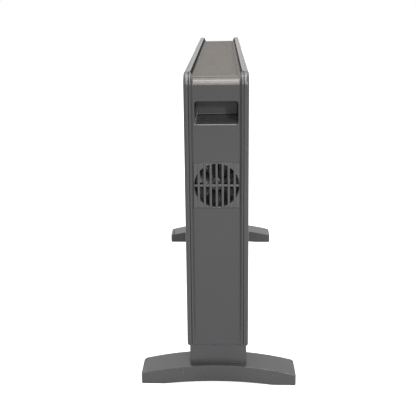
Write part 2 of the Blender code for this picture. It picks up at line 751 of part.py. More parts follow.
def add_grip_pocket(cap, end):
    """Mould the hand-grip pocket into an end cap."""
    back = CAP_FIELD - GRIP_DEPTH
    shell = (grip_ring(end, CAP_FIELD - CAP_WALL / 2, GRIP_WALL), grip_ring(end, back - GRIP_WALL, GRIP_WALL))
    join(cap, loft(shell))
    hollow = (
        grip_ring(end, CAP_FIELD + CUT_OVERRUN, GRIP_FLARE),
        grip_ring(end, CAP_FIELD, GRIP_FLARE),
        grip_ring(end, CAP_FIELD - GRIP_FLARE, 0),
        grip_ring(end, back, 0, GRIP_FLOOR_RISE),
    )
    cut(cap, loft(hollow))


def build_cap(name, end):
    """Build the shell that both end caps share."""
    cap = add_piece(name, prism(cap_outline(end), "Y", -CAP_HALF_WIDTH, CAP_HALF_WIDTH), "dark_plastic")
    cut(cap, prism(cap_cavity(end), "Y", -CAP_INNER_HALF, CAP_INNER_HALF))
    cut(cap, cap_trough(end))
    add_grip_pocket(cap, end)
    add_panel_bosses(cap, end)
    centre = end * (BODY_END - CAP_SCREW_INSET), 0
    cut(cap, flush_hole("Z", centre, CAP_SCREW_TOP, 1, CAP_SCREW_DIAMETER, CAP_FLOOR + CUT_OVERRUN))
    return cap


def add_panel_bosses(cap, end):
    """Add the bosses on the rear cheek that take the rear panel's screws."""
    root = CAP_HALF_WIDTH - CAP_CHEEK / 2
    tip = BODY_FACE - PANEL_SHEET - FIT_GAP
    heights = panel_screw_heights()
    join(cap, *[rod("Y", (end * SCREW_X, height), PANEL_BOSS_DIAMETER / 2, root, tip) for height in heights])
    cut(cap, *[panel_screw_hole(end, height) for height in heights])


def build_fan_end_cap():
    """Build the fan end's cap, with its window and shroud bosses."""
    cap = build_cap("fan_end_cap", FAN_END)
    window = GRILLE_SIDE + 2 * FIT_GAP
    outline = rectangle((0, FAN_HEIGHT), window, window)
    cut(cap, prism(outline, "X", CAP_INSIDE - CUT_OVERRUN, CAP_FIELD + CUT_OVERRUN))
    bosses = []
    holes = []
    for height in shroud_screw_heights():
        centre = 0, height
        bosses.append(rod("X", centre, SHROUD_BOSS_DIAMETER / 2, SHROUD_FRONT + FIT_GAP, CAP_INSIDE + CAP_WALL / 2))
        radius = SHROUD_SCREW_DIAMETER / 2 + HOLE_PLAY
        holes.append(rod("X", centre, radius, SHROUD_FRONT - CUT_OVERRUN, CAP_INSIDE + CAP_WALL / 2))
    join(cap, *bosses)
    cut(cap, *holes)


def shroud_screw_heights():
    """Return the heights of the shroud's two screws above the floor."""
    return FAN_HEIGHT - SHROUD_SCREW_RISE, FAN_HEIGHT + SHROUD_SCREW_RISE


def build_control_end_cap():
    """Build the far end's cap, with the knob's dish and the switch, lens and inlet holes."""
    cap = build_cap("control_end_cap", CONTROL_END)
    outer = DISH_SIDE + 2 * DISH_WALL
    centre = 0, FAN_HEIGHT
    shell = rounded_rectangle(centre, outer, outer, DISH_CORNER_RADIUS + DISH_WALL)
    join(cap, prism(shell, "X", -(CAP_FIELD - CAP_WALL / 2), -DISH_BACK))
    hollow = rounded_rectangle(centre, DISH_SIDE, DISH_SIDE, DISH_CORNER_RADIUS)
    cut(cap, prism(hollow, "X", -(CAP_FIELD + CUT_OVERRUN), -DISH_FLOOR))
    bush = THERMOSTAT_BUSH_DIAMETER / 2 + HOLE_PLAY
    cut(cap, rod("X", centre, bush, -(DISH_FLOOR + CUT_OVERRUN), -(DISH_BACK - CUT_OVERRUN)))
    front = -(CAP_FIELD + CUT_OVERRUN)
    back = -(CAP_INSIDE - CUT_OVERRUN)
    holes = []
    for across in switch_places():
        centre = across, SWITCH_LEVEL
        outline = rectangle(centre, SWITCH_WIDTH + 2 * HOLE_PLAY, SWITCH_HEIGHT + 2 * HOLE_PLAY)
        holes.append(prism(outline, "X", front, back))
    holes.append(rod("X", (0, BODY_TOP - LENS_DROP), LENS_DIAMETER / 2 + HOLE_PLAY, front, back))
    holes.append(rod("X", (0, BODY_BOTTOM + INLET_RISE), INLET_DIAMETER / 2 + HOLE_PLAY, front, back))
    cut(cap, *holes)


def switch_places():
    """Return where the three switches stand across the heater."""
    return -SWITCH_SPREAD, 0, SWITCH_SPREAD


# Fan grille, shroud and fan


def build_fan_grille():
    """Build the square insert with its round hole, upright ribs and cross bar."""
    centre = 0, FAN_HEIGHT
    outline = rectangle(centre, GRILLE_SIDE, GRILLE_SIDE)
    grille = add_piece("fan_grille", prism(outline, "X", GRILLE_BACK, CAP_FIELD), "dark_plastic")
    lap = GRILLE_SIDE + 2 * GRILLE_FLANGE_LAP
    flange = rectangle(centre, lap, lap)
    join(grille, prism(flange, "X", GRILLE_BACK, CAP_INSIDE - FIT_GAP))
    hole = rod(
        "X", centre, GRILLE_HOLE_DIAMETER / 2, GRILLE_BACK - CUT_OVERRUN, CAP_FIELD + CUT_OVERRUN, LARGE_ROUND_STEPS,
    )
    cut(grille, hole)
    half = GRILLE_SIDE / 2
    reach = GRILLE_HOLE_DIAMETER / 2 + FIT_GAP
    ribs = []
    for index in range(GRILLE_RIB_COUNT):
        across = (index - (GRILLE_RIB_COUNT - 1) / 2) * GRILLE_RIB_PITCH
        low = (CAP_FIELD - GRILLE_PLATE, across - GRILLE_RIB_WIDTH / 2, FAN_HEIGHT - half + FIT_GAP)
        high = (CAP_FIELD + GRILLE_RIB_RISE, across + GRILLE_RIB_WIDTH / 2, FAN_HEIGHT + half - FIT_GAP)
        ribs.append(block(low, high))
    join(grille, *ribs)
    low = (CAP_FIELD - GRILLE_PLATE - FIT_GAP, -reach, FAN_HEIGHT - GRILLE_BAR_HEIGHT / 2)
    high = (CAP_FIELD - GRILLE_BAR_SETBACK, reach, FAN_HEIGHT + GRILLE_BAR_HEIGHT / 2)
    join(grille, block(low, high))


def build_fan_shroud():
    """Build the ring duct behind the grille, with its screwed flange."""
    centre = 0, FAN_HEIGHT
    outline = rectangle(centre, SHROUD_WIDTH, SHROUD_HEIGHT)
    shroud = add_piece("fan_shroud", prism(outline, "X", SHROUD_FLANGE_BACK, SHROUD_FRONT), "black_plastic")
    ring_front = SHROUD_FRONT - SHROUD_FLANGE / 2
    join(shroud, rod("X", centre, SHROUD_RADIUS, SHROUD_BACK, ring_front, LARGE_ROUND_STEPS))
    bore = SHROUD_BORE_DIAMETER / 2
    cut(shroud, rod("X", centre, bore, SHROUD_BACK - CUT_OVERRUN, SHROUD_FRONT + CUT_OVERRUN, LARGE_ROUND_STEPS))
    radius = SHROUD_SCREW_DIAMETER / 2 + HOLE_PLAY
    start, end = SHROUD_FLANGE_BACK - CUT_OVERRUN, SHROUD_FRONT + CUT_OVERRUN
    cut(shroud, *[rod("X", (0, height), radius, start, end) for height in shroud_screw_heights()])


def build_fan_bracket():
    """Build the strap that hooks round the shroud and carries the motor."""
    leg_outer = BRACKET_LEG_INNER + BRACKET_SHEET
    foot_end = leg_outer + BRACKET_FOOT_REACH
    foot_back = BRACKET_FOOT_FRONT - BRACKET_SHEET
    half = [
        (BRACKET_PLATE_BACK, leg_outer), (foot_back, leg_outer), (foot_back, foot_end),
        (BRACKET_FOOT_FRONT, foot_end), (BRACKET_FOOT_FRONT, BRACKET_LEG_INNER),
        (BRACKET_PLATE_FRONT, BRACKET_LEG_INNER),
    ]
    outline = [(x, FAN_HEIGHT + z) for x, z in half] + [(x, FAN_HEIGHT - z) for x, z in reversed(half)]
    strap = BRACKET_STRAP_WIDTH / 2
    bracket = add_piece("fan_bracket", prism(outline, "Y", -strap, strap), "zinc")
    start, end = BRACKET_PLATE_BACK - CUT_OVERRUN, BRACKET_PLATE_FRONT + CUT_OVERRUN
    holes = [rod("X", (0, FAN_HEIGHT), BEARING_BUSH_DIAMETER / 2 + FIT_GAP, start, end, ROUND_STEPS)]
    holes += motor_screw_holes(start, end)
    start, end = foot_back - CUT_OVERRUN, BRACKET_FOOT_FRONT + CUT_OVERRUN
    for height in shroud_screw_heights():
        holes.append(rod("X", (0, height), SHROUD_SCREW_DIAMETER / 2 + HOLE_PLAY, start, end))
    cut(bracket, *holes)


def motor_screw_heights():
    """Return the heights of the motor's two screws above the floor."""
    return FAN_HEIGHT - MOTOR_SCREW_SPREAD, FAN_HEIGHT + MOTOR_SCREW_SPREAD


def motor_screw_holes(start, end):
    """Return the clearance holes for the motor's screws between two planes."""
    radius = MOTOR_SCREW_DIAMETER / 2 + HOLE_PLAY
    return [rod("X", (0, height), radius, start, end) for height in motor_screw_heights()]


def build_motor_core():
    """Build the laminated core, with the rotor's bore and the coil's window."""
    half = MOTOR_HEIGHT / 2
    low = (CORE_BACK, -MOTOR_COIL_SIDE, FAN_HEIGHT - half)
    high = (CORE_FRONT, MOTOR_PLAIN_SIDE, FAN_HEIGHT + half)
    core = add_piece("fan_motor_core", block(low, high), "lamination_steel")
    start, end = CORE_BACK - CUT_OVERRUN, CORE_FRONT + CUT_OVERRUN
    half = MOTOR_WINDOW_HEIGHT / 2
    window_low = (start, MOTOR_LEG_WIDTH - MOTOR_COIL_SIDE, FAN_HEIGHT - half)
    window_high = (end, -MOTOR_WINDOW_OFFSET, FAN_HEIGHT + half)
    bore = rod("X", (0, FAN_HEIGHT), MOTOR_BORE_DIAMETER / 2, start, end, ROUND_STEPS)
    cut(core, bore, block(window_low, window_high), *motor_screw_holes(start, end))


def build_motor_coil():
    """Build the taped coil round the core's front leg."""
    outer = -MOTOR_COIL_SIDE
    inner = outer + MOTOR_LEG_WIDTH
    half = MOTOR_COIL_HEIGHT / 2
    wall = MOTOR_COIL_WALL
    low = (CORE_BACK - wall, outer - wall, FAN_HEIGHT - half)
    high = (CORE_FRONT + wall, inner + wall, FAN_HEIGHT + half)
    coil = add_piece("fan_motor_coil", block(low, high), "coil_tape")
    hole_low = (CORE_BACK - FIT_GAP, outer - FIT_GAP, FAN_HEIGHT - half - CUT_OVERRUN)
    hole_high = (CORE_FRONT + FIT_GAP, inner + FIT_GAP, FAN_HEIGHT + half + CUT_OVERRUN)
    cut(coil, block(hole_low, hole_high))


def build_bearing(name, inner, outer, reach):
    """Build a bearing strip between two planes, its bush standing out by reach."""
    half = BEARING_STRIP_WIDTH / 2
    half_height = MOTOR_HEIGHT / 2
    low = (min(inner, outer), -half, FAN_HEIGHT - half_height)
    high = (max(inner, outer), half, FAN_HEIGHT + half_height)
    bearing = add_piece(name, block(low, high), "zinc")
    centre = 0, FAN_HEIGHT
    middle = (inner + outer) / 2
    join(bearing, rod("X", centre, BEARING_BUSH_DIAMETER / 2, middle, outer + reach, ROUND_STEPS))
    start = min(inner, outer + reach) - CUT_OVERRUN
    end = max(inner, outer + reach) + CUT_OVERRUN
    bore = rod("X", centre, FAN_SHAFT_DIAMETER / 2 + FAN_SHAFT_PLAY, start, end, ROUND_STEPS)
    cut(bearing, bore, *motor_screw_holes(start, end))


def build_bearings():
    """Build the strips that hold the shaft at the front and the rear of the core."""
    build_bearing("fan_bearing_front", BEARING_FRONT_FACE - BEARING_SHEET, BEARING_FRONT_FACE, BEARING_BUSH_REACH)
    build_bearing("fan_bearing_rear", BEARING_REAR_FACE, MOTOR_BACK, -BEARING_BUSH_REACH)


def build_rotor():
    """Build the rotor and its shaft as one turned piece."""
    shaft = FAN_SHAFT_DIAMETER / 2
    rotor = ROTOR_DIAMETER / 2
    back = MOTOR_BACK - BEARING_BUSH_REACH - FAN_SHAFT_TAIL
    front = IMPELLER_BACK + IMPELLER_BORE_DEPTH - FIT_GAP
    profile = (
        (0, back), (shaft, back), (shaft, CORE_BACK + ROTOR_END_GAP), (rotor, CORE_BACK + ROTOR_END_GAP),
        (rotor, CORE_FRONT - ROTOR_END_GAP), (shaft, CORE_FRONT - ROTOR_END_GAP), (shaft, front), (0, front),
    )
    origin = (IMPELLER_BACK, 0, FAN_HEIGHT)
    add_piece("fan_rotor_shaft", turned(profile, "X", origin[1:], ROUND_STEPS), "screw_steel", origin, True)


def blade(azimuth):
    """Return one twisted blade as a loft of slanted sections from root to tip."""
    radial = Vector((0, math.cos(azimuth), math.sin(azimuth)))
    tangent = Vector((0, -math.sin(azimuth), math.cos(azimuth)))
    axial = Vector((1, 0, 0))
    middle = Vector(((IMPELLER_BACK + IMPELLER_FRONT) / 2, 0, FAN_HEIGHT))
    root = IMPELLER_HUB_DIAMETER / 2 - IMPELLER_ROOT_SINK
    rings = []
    for step in range(BLADE_STEPS + 1):
        share = step / BLADE_STEPS
        radius = root + (IMPELLER_TIP_RADIUS - root) * share
        chord = IMPELLER_ROOT_CHORD + (IMPELLER_TIP_CHORD - IMPELLER_ROOT_CHORD) * share
        pitch_deg = IMPELLER_ROOT_PITCH_DEG + (IMPELLER_TIP_PITCH_DEG - IMPELLER_ROOT_PITCH_DEG) * share
        pitch = math.radians(pitch_deg)
        along = (tangent * math.cos(pitch) + axial * math.sin(pitch)) * chord / 2
        across = (axial * math.cos(pitch) - tangent * math.sin(pitch)) * IMPELLER_BLADE_THICKNESS / 2
        centre = middle + radial * radius
        near, far = centre - across, centre + across
        rings.append([near - along, near + along, far + along, far - along])
    return loft(rings)


def build_impeller():
    """Build the axial impeller: a nosed hub with twisted blades."""
    hub = IMPELLER_HUB_DIAMETER / 2
    nose = IMPELLER_NOSE_RADIUS
    profile = [(0, IMPELLER_BACK), (hub, IMPELLER_BACK)]
    profile += arc((hub - nose, IMPELLER_FRONT - nose), nose, 0, 90, ROLL_STEPS)
    profile.append((0, IMPELLER_FRONT))
    origin = (IMPELLER_BACK, 0, FAN_HEIGHT)
    shape = turned(profile, "X", origin[1:], ROUND_STEPS)
    impeller = add_piece("fan_impeller", shape, "black_plastic", origin, True)
    join(impeller, *[blade(math.tau * index / IMPELLER_BLADE_COUNT) for index in range(IMPELLER_BLADE_COUNT)])
    bore = FAN_SHAFT_DIAMETER / 2 + FAN_SHAFT_PLAY
    cut(impeller, rod("X", origin[1:], bore, IMPELLER_BACK - CUT_OVERRUN, IMPELLER_BACK + IMPELLER_BORE_DEPTH))


# Top grille and bottom plate


def slots(count, pitch, length, width, low, high):
    """Return a row of slots that run across the heater."""
    made = []
    for index in range(count):
        middle = (index - (count - 1) / 2) * pitch
        made.append(block((middle - width / 2, -length / 2, low), (middle + width / 2, length / 2, high)))
    return made


def build_top_grille():
    """Build the outlet plate between the rims, with a ledge under each rim's hem."""
    half = TOP_HALF_WIDTH
    sheet = TOP_GRILLE_SHEET
    ledge_end = half + TOP_GRILLE_LEDGE_WIDTH
    right = [
        (half, TOP_PLATE), (half, TOP_LEDGE), (ledge_end, TOP_LEDGE), (ledge_end, TOP_LEDGE - sheet),
        (half - sheet, TOP_LEDGE - sheet), (half - sheet, TOP_PLATE - sheet),
    ]
    outline = right + [(-y, z) for y, z in reversed(right)]
    end = CAP_CROWN_EDGE - FIT_GAP
    plate = add_piece("top_grille", prism(outline, "X", -end, end), "grille_paint")
    count = round(2 * (CAP_CROWN_EDGE - TOP_SLOT_END_MARGIN) / TOP_SLOT_PITCH)
    low, high = TOP_PLATE - sheet - CUT_OVERRUN, TOP_PLATE + CUT_OVERRUN
    cut(plate, *slots(count, TOP_SLOT_PITCH, TOP_SLOT_LENGTH, TOP_SLOT_WIDTH, low, high))


def build_bottom_plate():
    """Build the inlet plate, its sides turned up inside the panels' hems."""
    half = BOTTOM_HALF_WIDTH
    sheet = BOTTOM_SHEET
    rim = BOTTOM_UNDERSIDE + BOTTOM_SIDE_HEIGHT
    right = [(half, BOTTOM_UNDERSIDE), (half, rim), (half - sheet, rim), (half - sheet, BOTTOM_TOP)]
    outline = right + [(-y, z) for y, z in reversed(right)]
    plate = add_piece("bottom_plate", prism(outline, "X", -BOTTOM_END, BOTTOM_END), "zinc")
    inner = CAP_INNER_HALF - FIT_GAP
    low, high = BOTTOM_UNDERSIDE - CUT_OVERRUN, rim + CUT_OVERRUN
    notches = []
    for sign in (FAN_END, CONTROL_END):
        start, stop = sorted((sign * (CAP_BACK - FIT_GAP), sign * (BOTTOM_END + CUT_OVERRUN)))
        notches.append(block((start, inner, low), (stop, half + CUT_OVERRUN, high)))
        notches.append(block((start, -half - CUT_OVERRUN, low), (stop, -inner, high)))
    cut(plate, *notches)
    count = round(2 * (BODY_END - BOTTOM_SLOT_END_SPACE) / BOTTOM_SLOT_PITCH)
    openings = slots(count, BOTTOM_SLOT_PITCH, BOTTOM_SLOT_LENGTH, BOTTOM_SLOT_WIDTH, low, high)
    holes = []
    for end in (FAN_END, CONTROL_END):
        for across in foot_screw_places():
            holes.append(rod("Z", (end * FOOT_CENTRE, across), FOOT_SCREW_DIAMETER / 2 + HOLE_PLAY, low, high))
        centre = end * (BODY_END - CAP_SCREW_INSET), 0
        holes.append(rod("Z", centre, CAP_SCREW_DIAMETER / 2 + HOLE_PLAY, low, high))
    cut(plate, *openings, *holes)


# Feet


def foot_screw_places():
    """Return where a foot's screws stand across the heater."""
    return -FOOT_SCREW_SPREAD, FOOT_SCREW_SPREAD


def crown(half_span, rise, base, steps=ARC_STEPS):
    """Return the points of a flat arch from +half_span to -half_span that rises above base."""
    radius = (half_span ** 2 + rise ** 2) / (2 * rise)
    reach_deg = math.degrees(math.asin(half_span / radius))
    return arc((0, base + rise - radius), radius, 90 - reach_deg, 2 * reach_deg, steps)


def foot_outline():
    """Return the foot's outline in (y, z): pads, arch and crown."""
    half = FOOT_SPAN / 2
    arch = crown(half - FOOT_PAD_LENGTH, FOOT_ARCH_RISE, 0)
    points = crown(half, FOOT_CROWN_HEIGHT - FOOT_END_HEIGHT, FOOT_END_HEIGHT)
    points += [(-half, 0)]
    points += list(reversed(arch))
    points += [(half, 0)]
    return points


def foot_plan(end):
    """Return the foot's outline in (x, y), its inner corners rounder than its outer ones."""
    near = FOOT_CENTRE + FOOT_DEPTH / 2
    far = FOOT_CENTRE - FOOT_DEPTH / 2
    half = FOOT_SPAN / 2
    outer, inner = FOOT_OUTER_CORNER, FOOT_INNER_CORNER
    points = arc((near - outer, half - outer), outer, 0, 90, CORNER_STEPS)
    points += arc((far + inner, half - inner), inner, 90, 90, CORNER_STEPS)
    points += arc((far + inner, inner - half), inner, 180, 90, CORNER_STEPS)
    points += arc((near - outer, outer - half), outer, 270, 90, CORNER_STEPS)
    return [(end * x, y) for x, y in points]


def neck_ring(end, width, depth, radius, height):
    """Return a rounded ring of the neck at one height."""
    outline = rounded_rectangle((end * FOOT_CENTRE, 0), depth, width, radius)
    return [Vector((x, y, height)) for x, y in outline]


def foot_hollow(end):
    """Return the shape that hollows the foot between its pads."""
    half = FOOT_SPAN / 2 - FOOT_PAD_LENGTH - FOOT_WALL
    full = FOOT_SPAN / 2
    rise = FOOT_CROWN_HEIGHT - FOOT_END_HEIGHT
    radius = (full ** 2 + rise ** 2) / (2 * rise)
    drop = radius - math.sqrt(radius ** 2 - half ** 2)
    ceiling = FOOT_CROWN_HEIGHT - FOOT_WALL
    points = crown(half, drop, ceiling - drop)
    points += [(-half, -CUT_OVERRUN), (half, -CUT_OVERRUN)]
    reach = FOOT_DEPTH / 2 - FOOT_WALL
    return prism(points, "X", end * FOOT_CENTRE - reach, end * FOOT_CENTRE + reach)


def build_foot(name, end):
    """Build one foot with its neck, hollow from below and drilled for two screws."""
    reach = FOOT_DEPTH / 2 + CUT_OVERRUN
    body = prism(foot_outline(), "X", end * FOOT_CENTRE - reach, end * FOOT_CENTRE + reach)
    foot = add_piece(name, body, "dark_plastic")
    combine(foot, prism(foot_plan(end), "Z", -CUT_OVERRUN, FOOT_CROWN_HEIGHT + CUT_OVERRUN), "INTERSECT")
    join(foot, loft((
        neck_ring(end, NECK_BASE_WIDTH, NECK_DEPTH, NECK_CORNER_RADIUS, FOOT_END_HEIGHT),
        neck_ring(end, NECK_TOP_WIDTH, NECK_DEPTH, NECK_CORNER_RADIUS, NECK_TOP),
    )))
    tongue_foot = NECK_TOP - FOOT_WALL / 2
    join(foot, loft((
        neck_ring(end, NECK_TONGUE_WIDTH, NECK_TONGUE_DEPTH, NECK_CORNER_RADIUS, tongue_foot),
        neck_ring(end, NECK_TONGUE_WIDTH, NECK_TONGUE_DEPTH, NECK_CORNER_RADIUS, TONGUE_TOP),
    )))
    cut(foot, foot_hollow(end))
    width = NECK_TOP_WIDTH - 2 * FOOT_WALL
    depth = NECK_DEPTH - 2 * FOOT_WALL
    cut(foot, loft((
        neck_ring(end, width, depth, LEAST_RADIUS, FOOT_END_HEIGHT),
        neck_ring(end, width, depth, LEAST_RADIUS, NECK_TOP - FOOT_WALL),
    )))
    radius = FOOT_SCREW_DIAMETER / 2 + HOLE_PLAY
    low, high = NECK_TOP - FOOT_WALL - CUT_OVERRUN, TONGUE_TOP + CUT_OVERRUN
    cut(foot, *[rod("Z", (end * FOOT_CENTRE, across), radius, low, high) for across in foot_screw_places()])


def build_feet():
    """Build both feet and their screws."""
    number = 0
    for end, name in ((FAN_END, "foot_fan_end"), (CONTROL_END, "foot_control_end")):
        build_foot(name, end)
        seat = NECK_TOP - FOOT_WALL - FIT_GAP
        length = BOTTOM_TOP + FOOT_SCREW_REACH - seat
        for across in foot_screw_places():
            number += 1
            centre = end * FOOT_CENTRE, across
            add_screw(f"foot_screw_{number}", "Z", centre, seat, 1, FOOT_SCREW_DIAMETER, length)


# Heating elements and what holds them


def element_heights():
    """Return the lower and the upper element's axis heights."""
    return ELEMENT_LOW, ELEMENT_HIGH


def build_element(name, height):
    """Build a finned extrusion with its sheathed rod standing out at both ends."""
    half_fin = ELEMENT_FIN_THICKNESS / 2
    fin_corners = (ELEMENT_CORE_RADIUS, -1), (ELEMENT_RADIUS, -1), (ELEMENT_RADIUS, 1), (ELEMENT_CORE_RADIUS, 1)
    points = []
    for index in range(ELEMENT_FIN_COUNT):
        angle = math.tau * index / ELEMENT_FIN_COUNT
        for radius, side in fin_corners:
            across = radius * math.cos(angle) - side * half_fin * math.sin(angle)
            rise = radius * math.sin(angle) + side * half_fin * math.cos(angle)
            points.append((across, height + rise))
    element = add_piece(name, prism(points, "X", -ELEMENT_END, ELEMENT_END), "bright_aluminium")
    reach = ELEMENT_END + ELEMENT_ROD_REACH
    join(element, rod("X", (0, height), ELEMENT_ROD_DIAMETER / 2, -reach, reach))


def build_insulator(name, end, height):
    """Build a collared ceramic bush on a rod's end."""
    collar_start = end * COLLAR_FACE
    collar_end = end * (COLLAR_FACE + INSULATOR_COLLAR)
    tip = end * (COLLAR_FACE + INSULATOR_LENGTH)
    bore = ELEMENT_ROD_DIAMETER / 2 + FIT_GAP
    profile = (
        (bore, collar_start), (INSULATOR_COLLAR_DIAMETER / 2, collar_start),
        (INSULATOR_COLLAR_DIAMETER / 2, collar_end), (INSULATOR_DIAMETER / 2, collar_end),
        (INSULATOR_DIAMETER / 2, tip), (bore, tip),
    )
    add_piece(name, turned(profile, "X", (0, height), HOLE_STEPS, True), "ceramic", smooth=True)


def build_stand(name, end):
    """Build a folded sheet stand that holds one end of both elements."""
    base = STAND_BASE
    outline = [
        (STAND_FACE, base), (STAND_FACE + STAND_FOOT, base), (STAND_FACE + STAND_FOOT, base + STAND_SHEET),
        (STAND_FACE + STAND_SHEET, base + STAND_SHEET), (STAND_FACE + STAND_SHEET, base + STAND_HEIGHT),
        (STAND_FACE, base + STAND_HEIGHT),
    ]
    half = STAND_WIDTH / 2
    stand = add_piece(name, prism([(end * x, z) for x, z in outline], "Y", -half, half), "zinc")
    start, stop = sorted((end * (STAND_FACE - CUT_OVERRUN), end * (STAND_FACE + STAND_SHEET + CUT_OVERRUN)))
    radius = INSULATOR_DIAMETER / 2 + FIT_GAP
    cut(stand, *[rod("X", (0, height), radius, start, stop) for height in element_heights()])


def build_heating():
    """Build the elements, their insulators and their stands."""
    build_element("heater_element_lower", ELEMENT_LOW)
    build_element("heater_element_upper", ELEMENT_HIGH)
    build_stand("element_stand_fan_end", FAN_END)
    build_stand("element_stand_control_end", CONTROL_END)
    number = 0
    for end in (FAN_END, CONTROL_END):
        for height in element_heights():
            number += 1
            build_insulator(f"element_insulator_{number}", end, height)


def build_heat_shield():
    """Build the folded sheet that keeps the rear panel cool."""
    back = BOTTOM_HALF_WIDTH - BOTTOM_SHEET - SHIELD_BACK_GAP
    front = back - SHIELD_SHEET
    base = STAND_BASE
    outline = [
        (back, base), (back, base + SHIELD_HEIGHT), (front, base + SHIELD_HEIGHT), (front, base + SHIELD_SHEET),
        (back - SHIELD_FOOT, base + SHIELD_SHEET), (back - SHIELD_FOOT, base),
    ]
    half = BODY_END - SHIELD_END_SPACE
    add_piece("rear_heat_shield", prism(outline, "X", -half, half), "bright_aluminium")


def build_thermal_cutout():
    """Build the round cut-out with its mounting flange, on the control end's stand."""
    face = STAND_FACE + STAND_SHEET + FIT_GAP
    height = STAND_BASE + CUTOUT_RISE
    centre = 0, height
    outline = rectangle(centre, CUTOUT_FLANGE_WIDTH, CUTOUT_FLANGE_HEIGHT)
    shape = prism(outline, "X", -(face + CUTOUT_FLANGE), -face)
    cutout = add_piece("thermal_cutout", shape, "black_plastic")
    start, end = -(face + CUTOUT_BODY), -(face + CUTOUT_FLANGE / 2)
    join(cutout, rod("X", centre, CUTOUT_DIAMETER / 2, start, end, ROUND_STEPS))


# Controls


def build_thermostat():
    """Build the thermostat's body behind the dish, with the shaft's socket."""
    centre = 0, FAN_HEIGHT
    front = DISH_BACK - FIT_GAP
    outline = rectangle(centre, THERMOSTAT_WIDTH, THERMOSTAT_HEIGHT)
    body = add_piece("thermostat_body", prism(outline, "X", -front, -(front - THERMOSTAT_DEPTH)), "black_plastic")
    bush = rod("X", centre, THERMOSTAT_BUSH_DIAMETER / 2, -DISH_FLOOR, -(front - THERMOSTAT_DEPTH / 2), ROUND_STEPS)
    join(body, bush)
    radius = THERMOSTAT_SHAFT_DIAMETER / 2 + THERMOSTAT_SHAFT_PLAY
    floor = -(front - THERMOSTAT_SOCKET_DEPTH)
    cut(body, rod("X", centre, radius, -(DISH_FLOOR + CUT_OVERRUN), floor, ROUND_STEPS))


def build_thermostat_shaft():
    """Build the spindle that joins the knob to the thermostat."""
    inner = DISH_BACK - THERMOSTAT_SOCKET_DEPTH
    outer = KNOB_BACK + KNOB_BORE_DEPTH - FIT_GAP
    radius = THERMOSTAT_SHAFT_DIAMETER / 2
    profile = ((0, -inner), (radius, -inner), (radius, -outer), (0, -outer))
    origin = (-KNOB_BACK, 0, FAN_HEIGHT)
    add_piece("thermostat_shaft", turned(profile, "X", origin[1:], ROUND_STEPS), "zinc", origin, True)


def build_knob():
    """Build the knob: a bevelled skirt with a raised grip bar."""
    radius = KNOB_DIAMETER / 2
    skirt = KNOB_BACK + KNOB_SKIRT
    bevel = KNOB_SKIRT_BEVEL
    profile = ((0, -KNOB_BACK), (radius, -KNOB_BACK), (radius, bevel - skirt), (radius - bevel, -skirt), (0, -skirt))
    origin = (-KNOB_BACK, 0, FAN_HEIGHT)
    knob = add_piece(
        "thermostat_knob", turned(profile, "X", origin[1:], LARGE_ROUND_STEPS), "black_plastic", origin, True,
    )
    grip_length = KNOB_DIAMETER - 4 * bevel
    outline = rounded_rectangle(origin[1:], KNOB_GRIP_WIDTH, grip_length, KNOB_GRIP_WIDTH / 3)
    join(knob, prism(outline, "X", -(KNOB_BACK + KNOB_SKIRT / 2), -KNOB_FRONT))
    bore = THERMOSTAT_SHAFT_DIAMETER / 2 + THERMOSTAT_SHAFT_PLAY
    cut(knob, rod("X", origin[1:], bore, CUT_OVERRUN - KNOB_BACK, -(KNOB_BACK + KNOB_BORE_DEPTH), ROUND_STEPS))


def build_switch_body(name, across):
    """Build a switch's housing and bezel, open in front for its rocker."""
    centre = across, SWITCH_LEVEL
    housing = rectangle(centre, SWITCH_WIDTH, SWITCH_HEIGHT)
    front = CAP_FIELD + FIT_GAP
    body = add_piece(name, prism(housing, "X", -SWITCH_FACE, -(CAP_FIELD - SWITCH_DEPTH)), "black_plastic")
    lap = 2 * SWITCH_BEZEL_LAP
    bezel = rectangle(centre, SWITCH_WIDTH + lap, SWITCH_HEIGHT + lap)
    join(body, prism(bezel, "X", -SWITCH_FACE, -front))
    wall = 2 * SWITCH_WALL
    pocket = rectangle(centre, SWITCH_WIDTH - wall, SWITCH_HEIGHT - wall)
    cut(body, prism(pocket, "X", -(SWITCH_FACE + CUT_OVERRUN), -(SWITCH_FACE - SWITCH_POCKET_DEPTH)))


def build_rocker(name, across):
    """Build a rocker in its off position, its origin on the pivot."""
    half_width = SWITCH_WIDTH / 2 - SWITCH_WALL - ROCKER_SIDE_PLAY
    paddle = [
        (-ROCKER_HALF_LENGTH, ROCKER_CREST), (0, ROCKER_VALLEY), (ROCKER_HALF_LENGTH, ROCKER_CREST),
        (ROCKER_HALF_LENGTH, ROCKER_VALLEY - ROCKER_CREST / 2),
    ]
    root = arc((0, -ROCKER_ROOT_RADIUS), ROCKER_ROOT_RADIUS / 2, 0, -180, CORNER_STEPS)
    points = paddle + root + [(-ROCKER_HALF_LENGTH, ROCKER_VALLEY - ROCKER_CREST / 2)]
    tilt = math.radians(ROCKER_TILT_DEG)
    turned_points = []
    for along, out in points:
        rise = along * math.cos(tilt) - out * math.sin(tilt)
        reach = along * math.sin(tilt) + out * math.cos(tilt)
        turned_points.append((-(ROCKER_PIVOT + reach), SWITCH_LEVEL + rise))
    origin = (-ROCKER_PIVOT, across, SWITCH_LEVEL)
    shape = prism(turned_points, "Y", across - half_width, across + half_width)
    add_piece(name, shape, "black_plastic", origin)


def build_switches():
    """Build the three rocker switches."""
    names = ("low_heat", "high_heat", "fan")
    for name, across in zip(names, switch_places()):
        build_switch_body(f"{name}_switch_body", across)
        build_rocker(f"{name}_rocker", across)


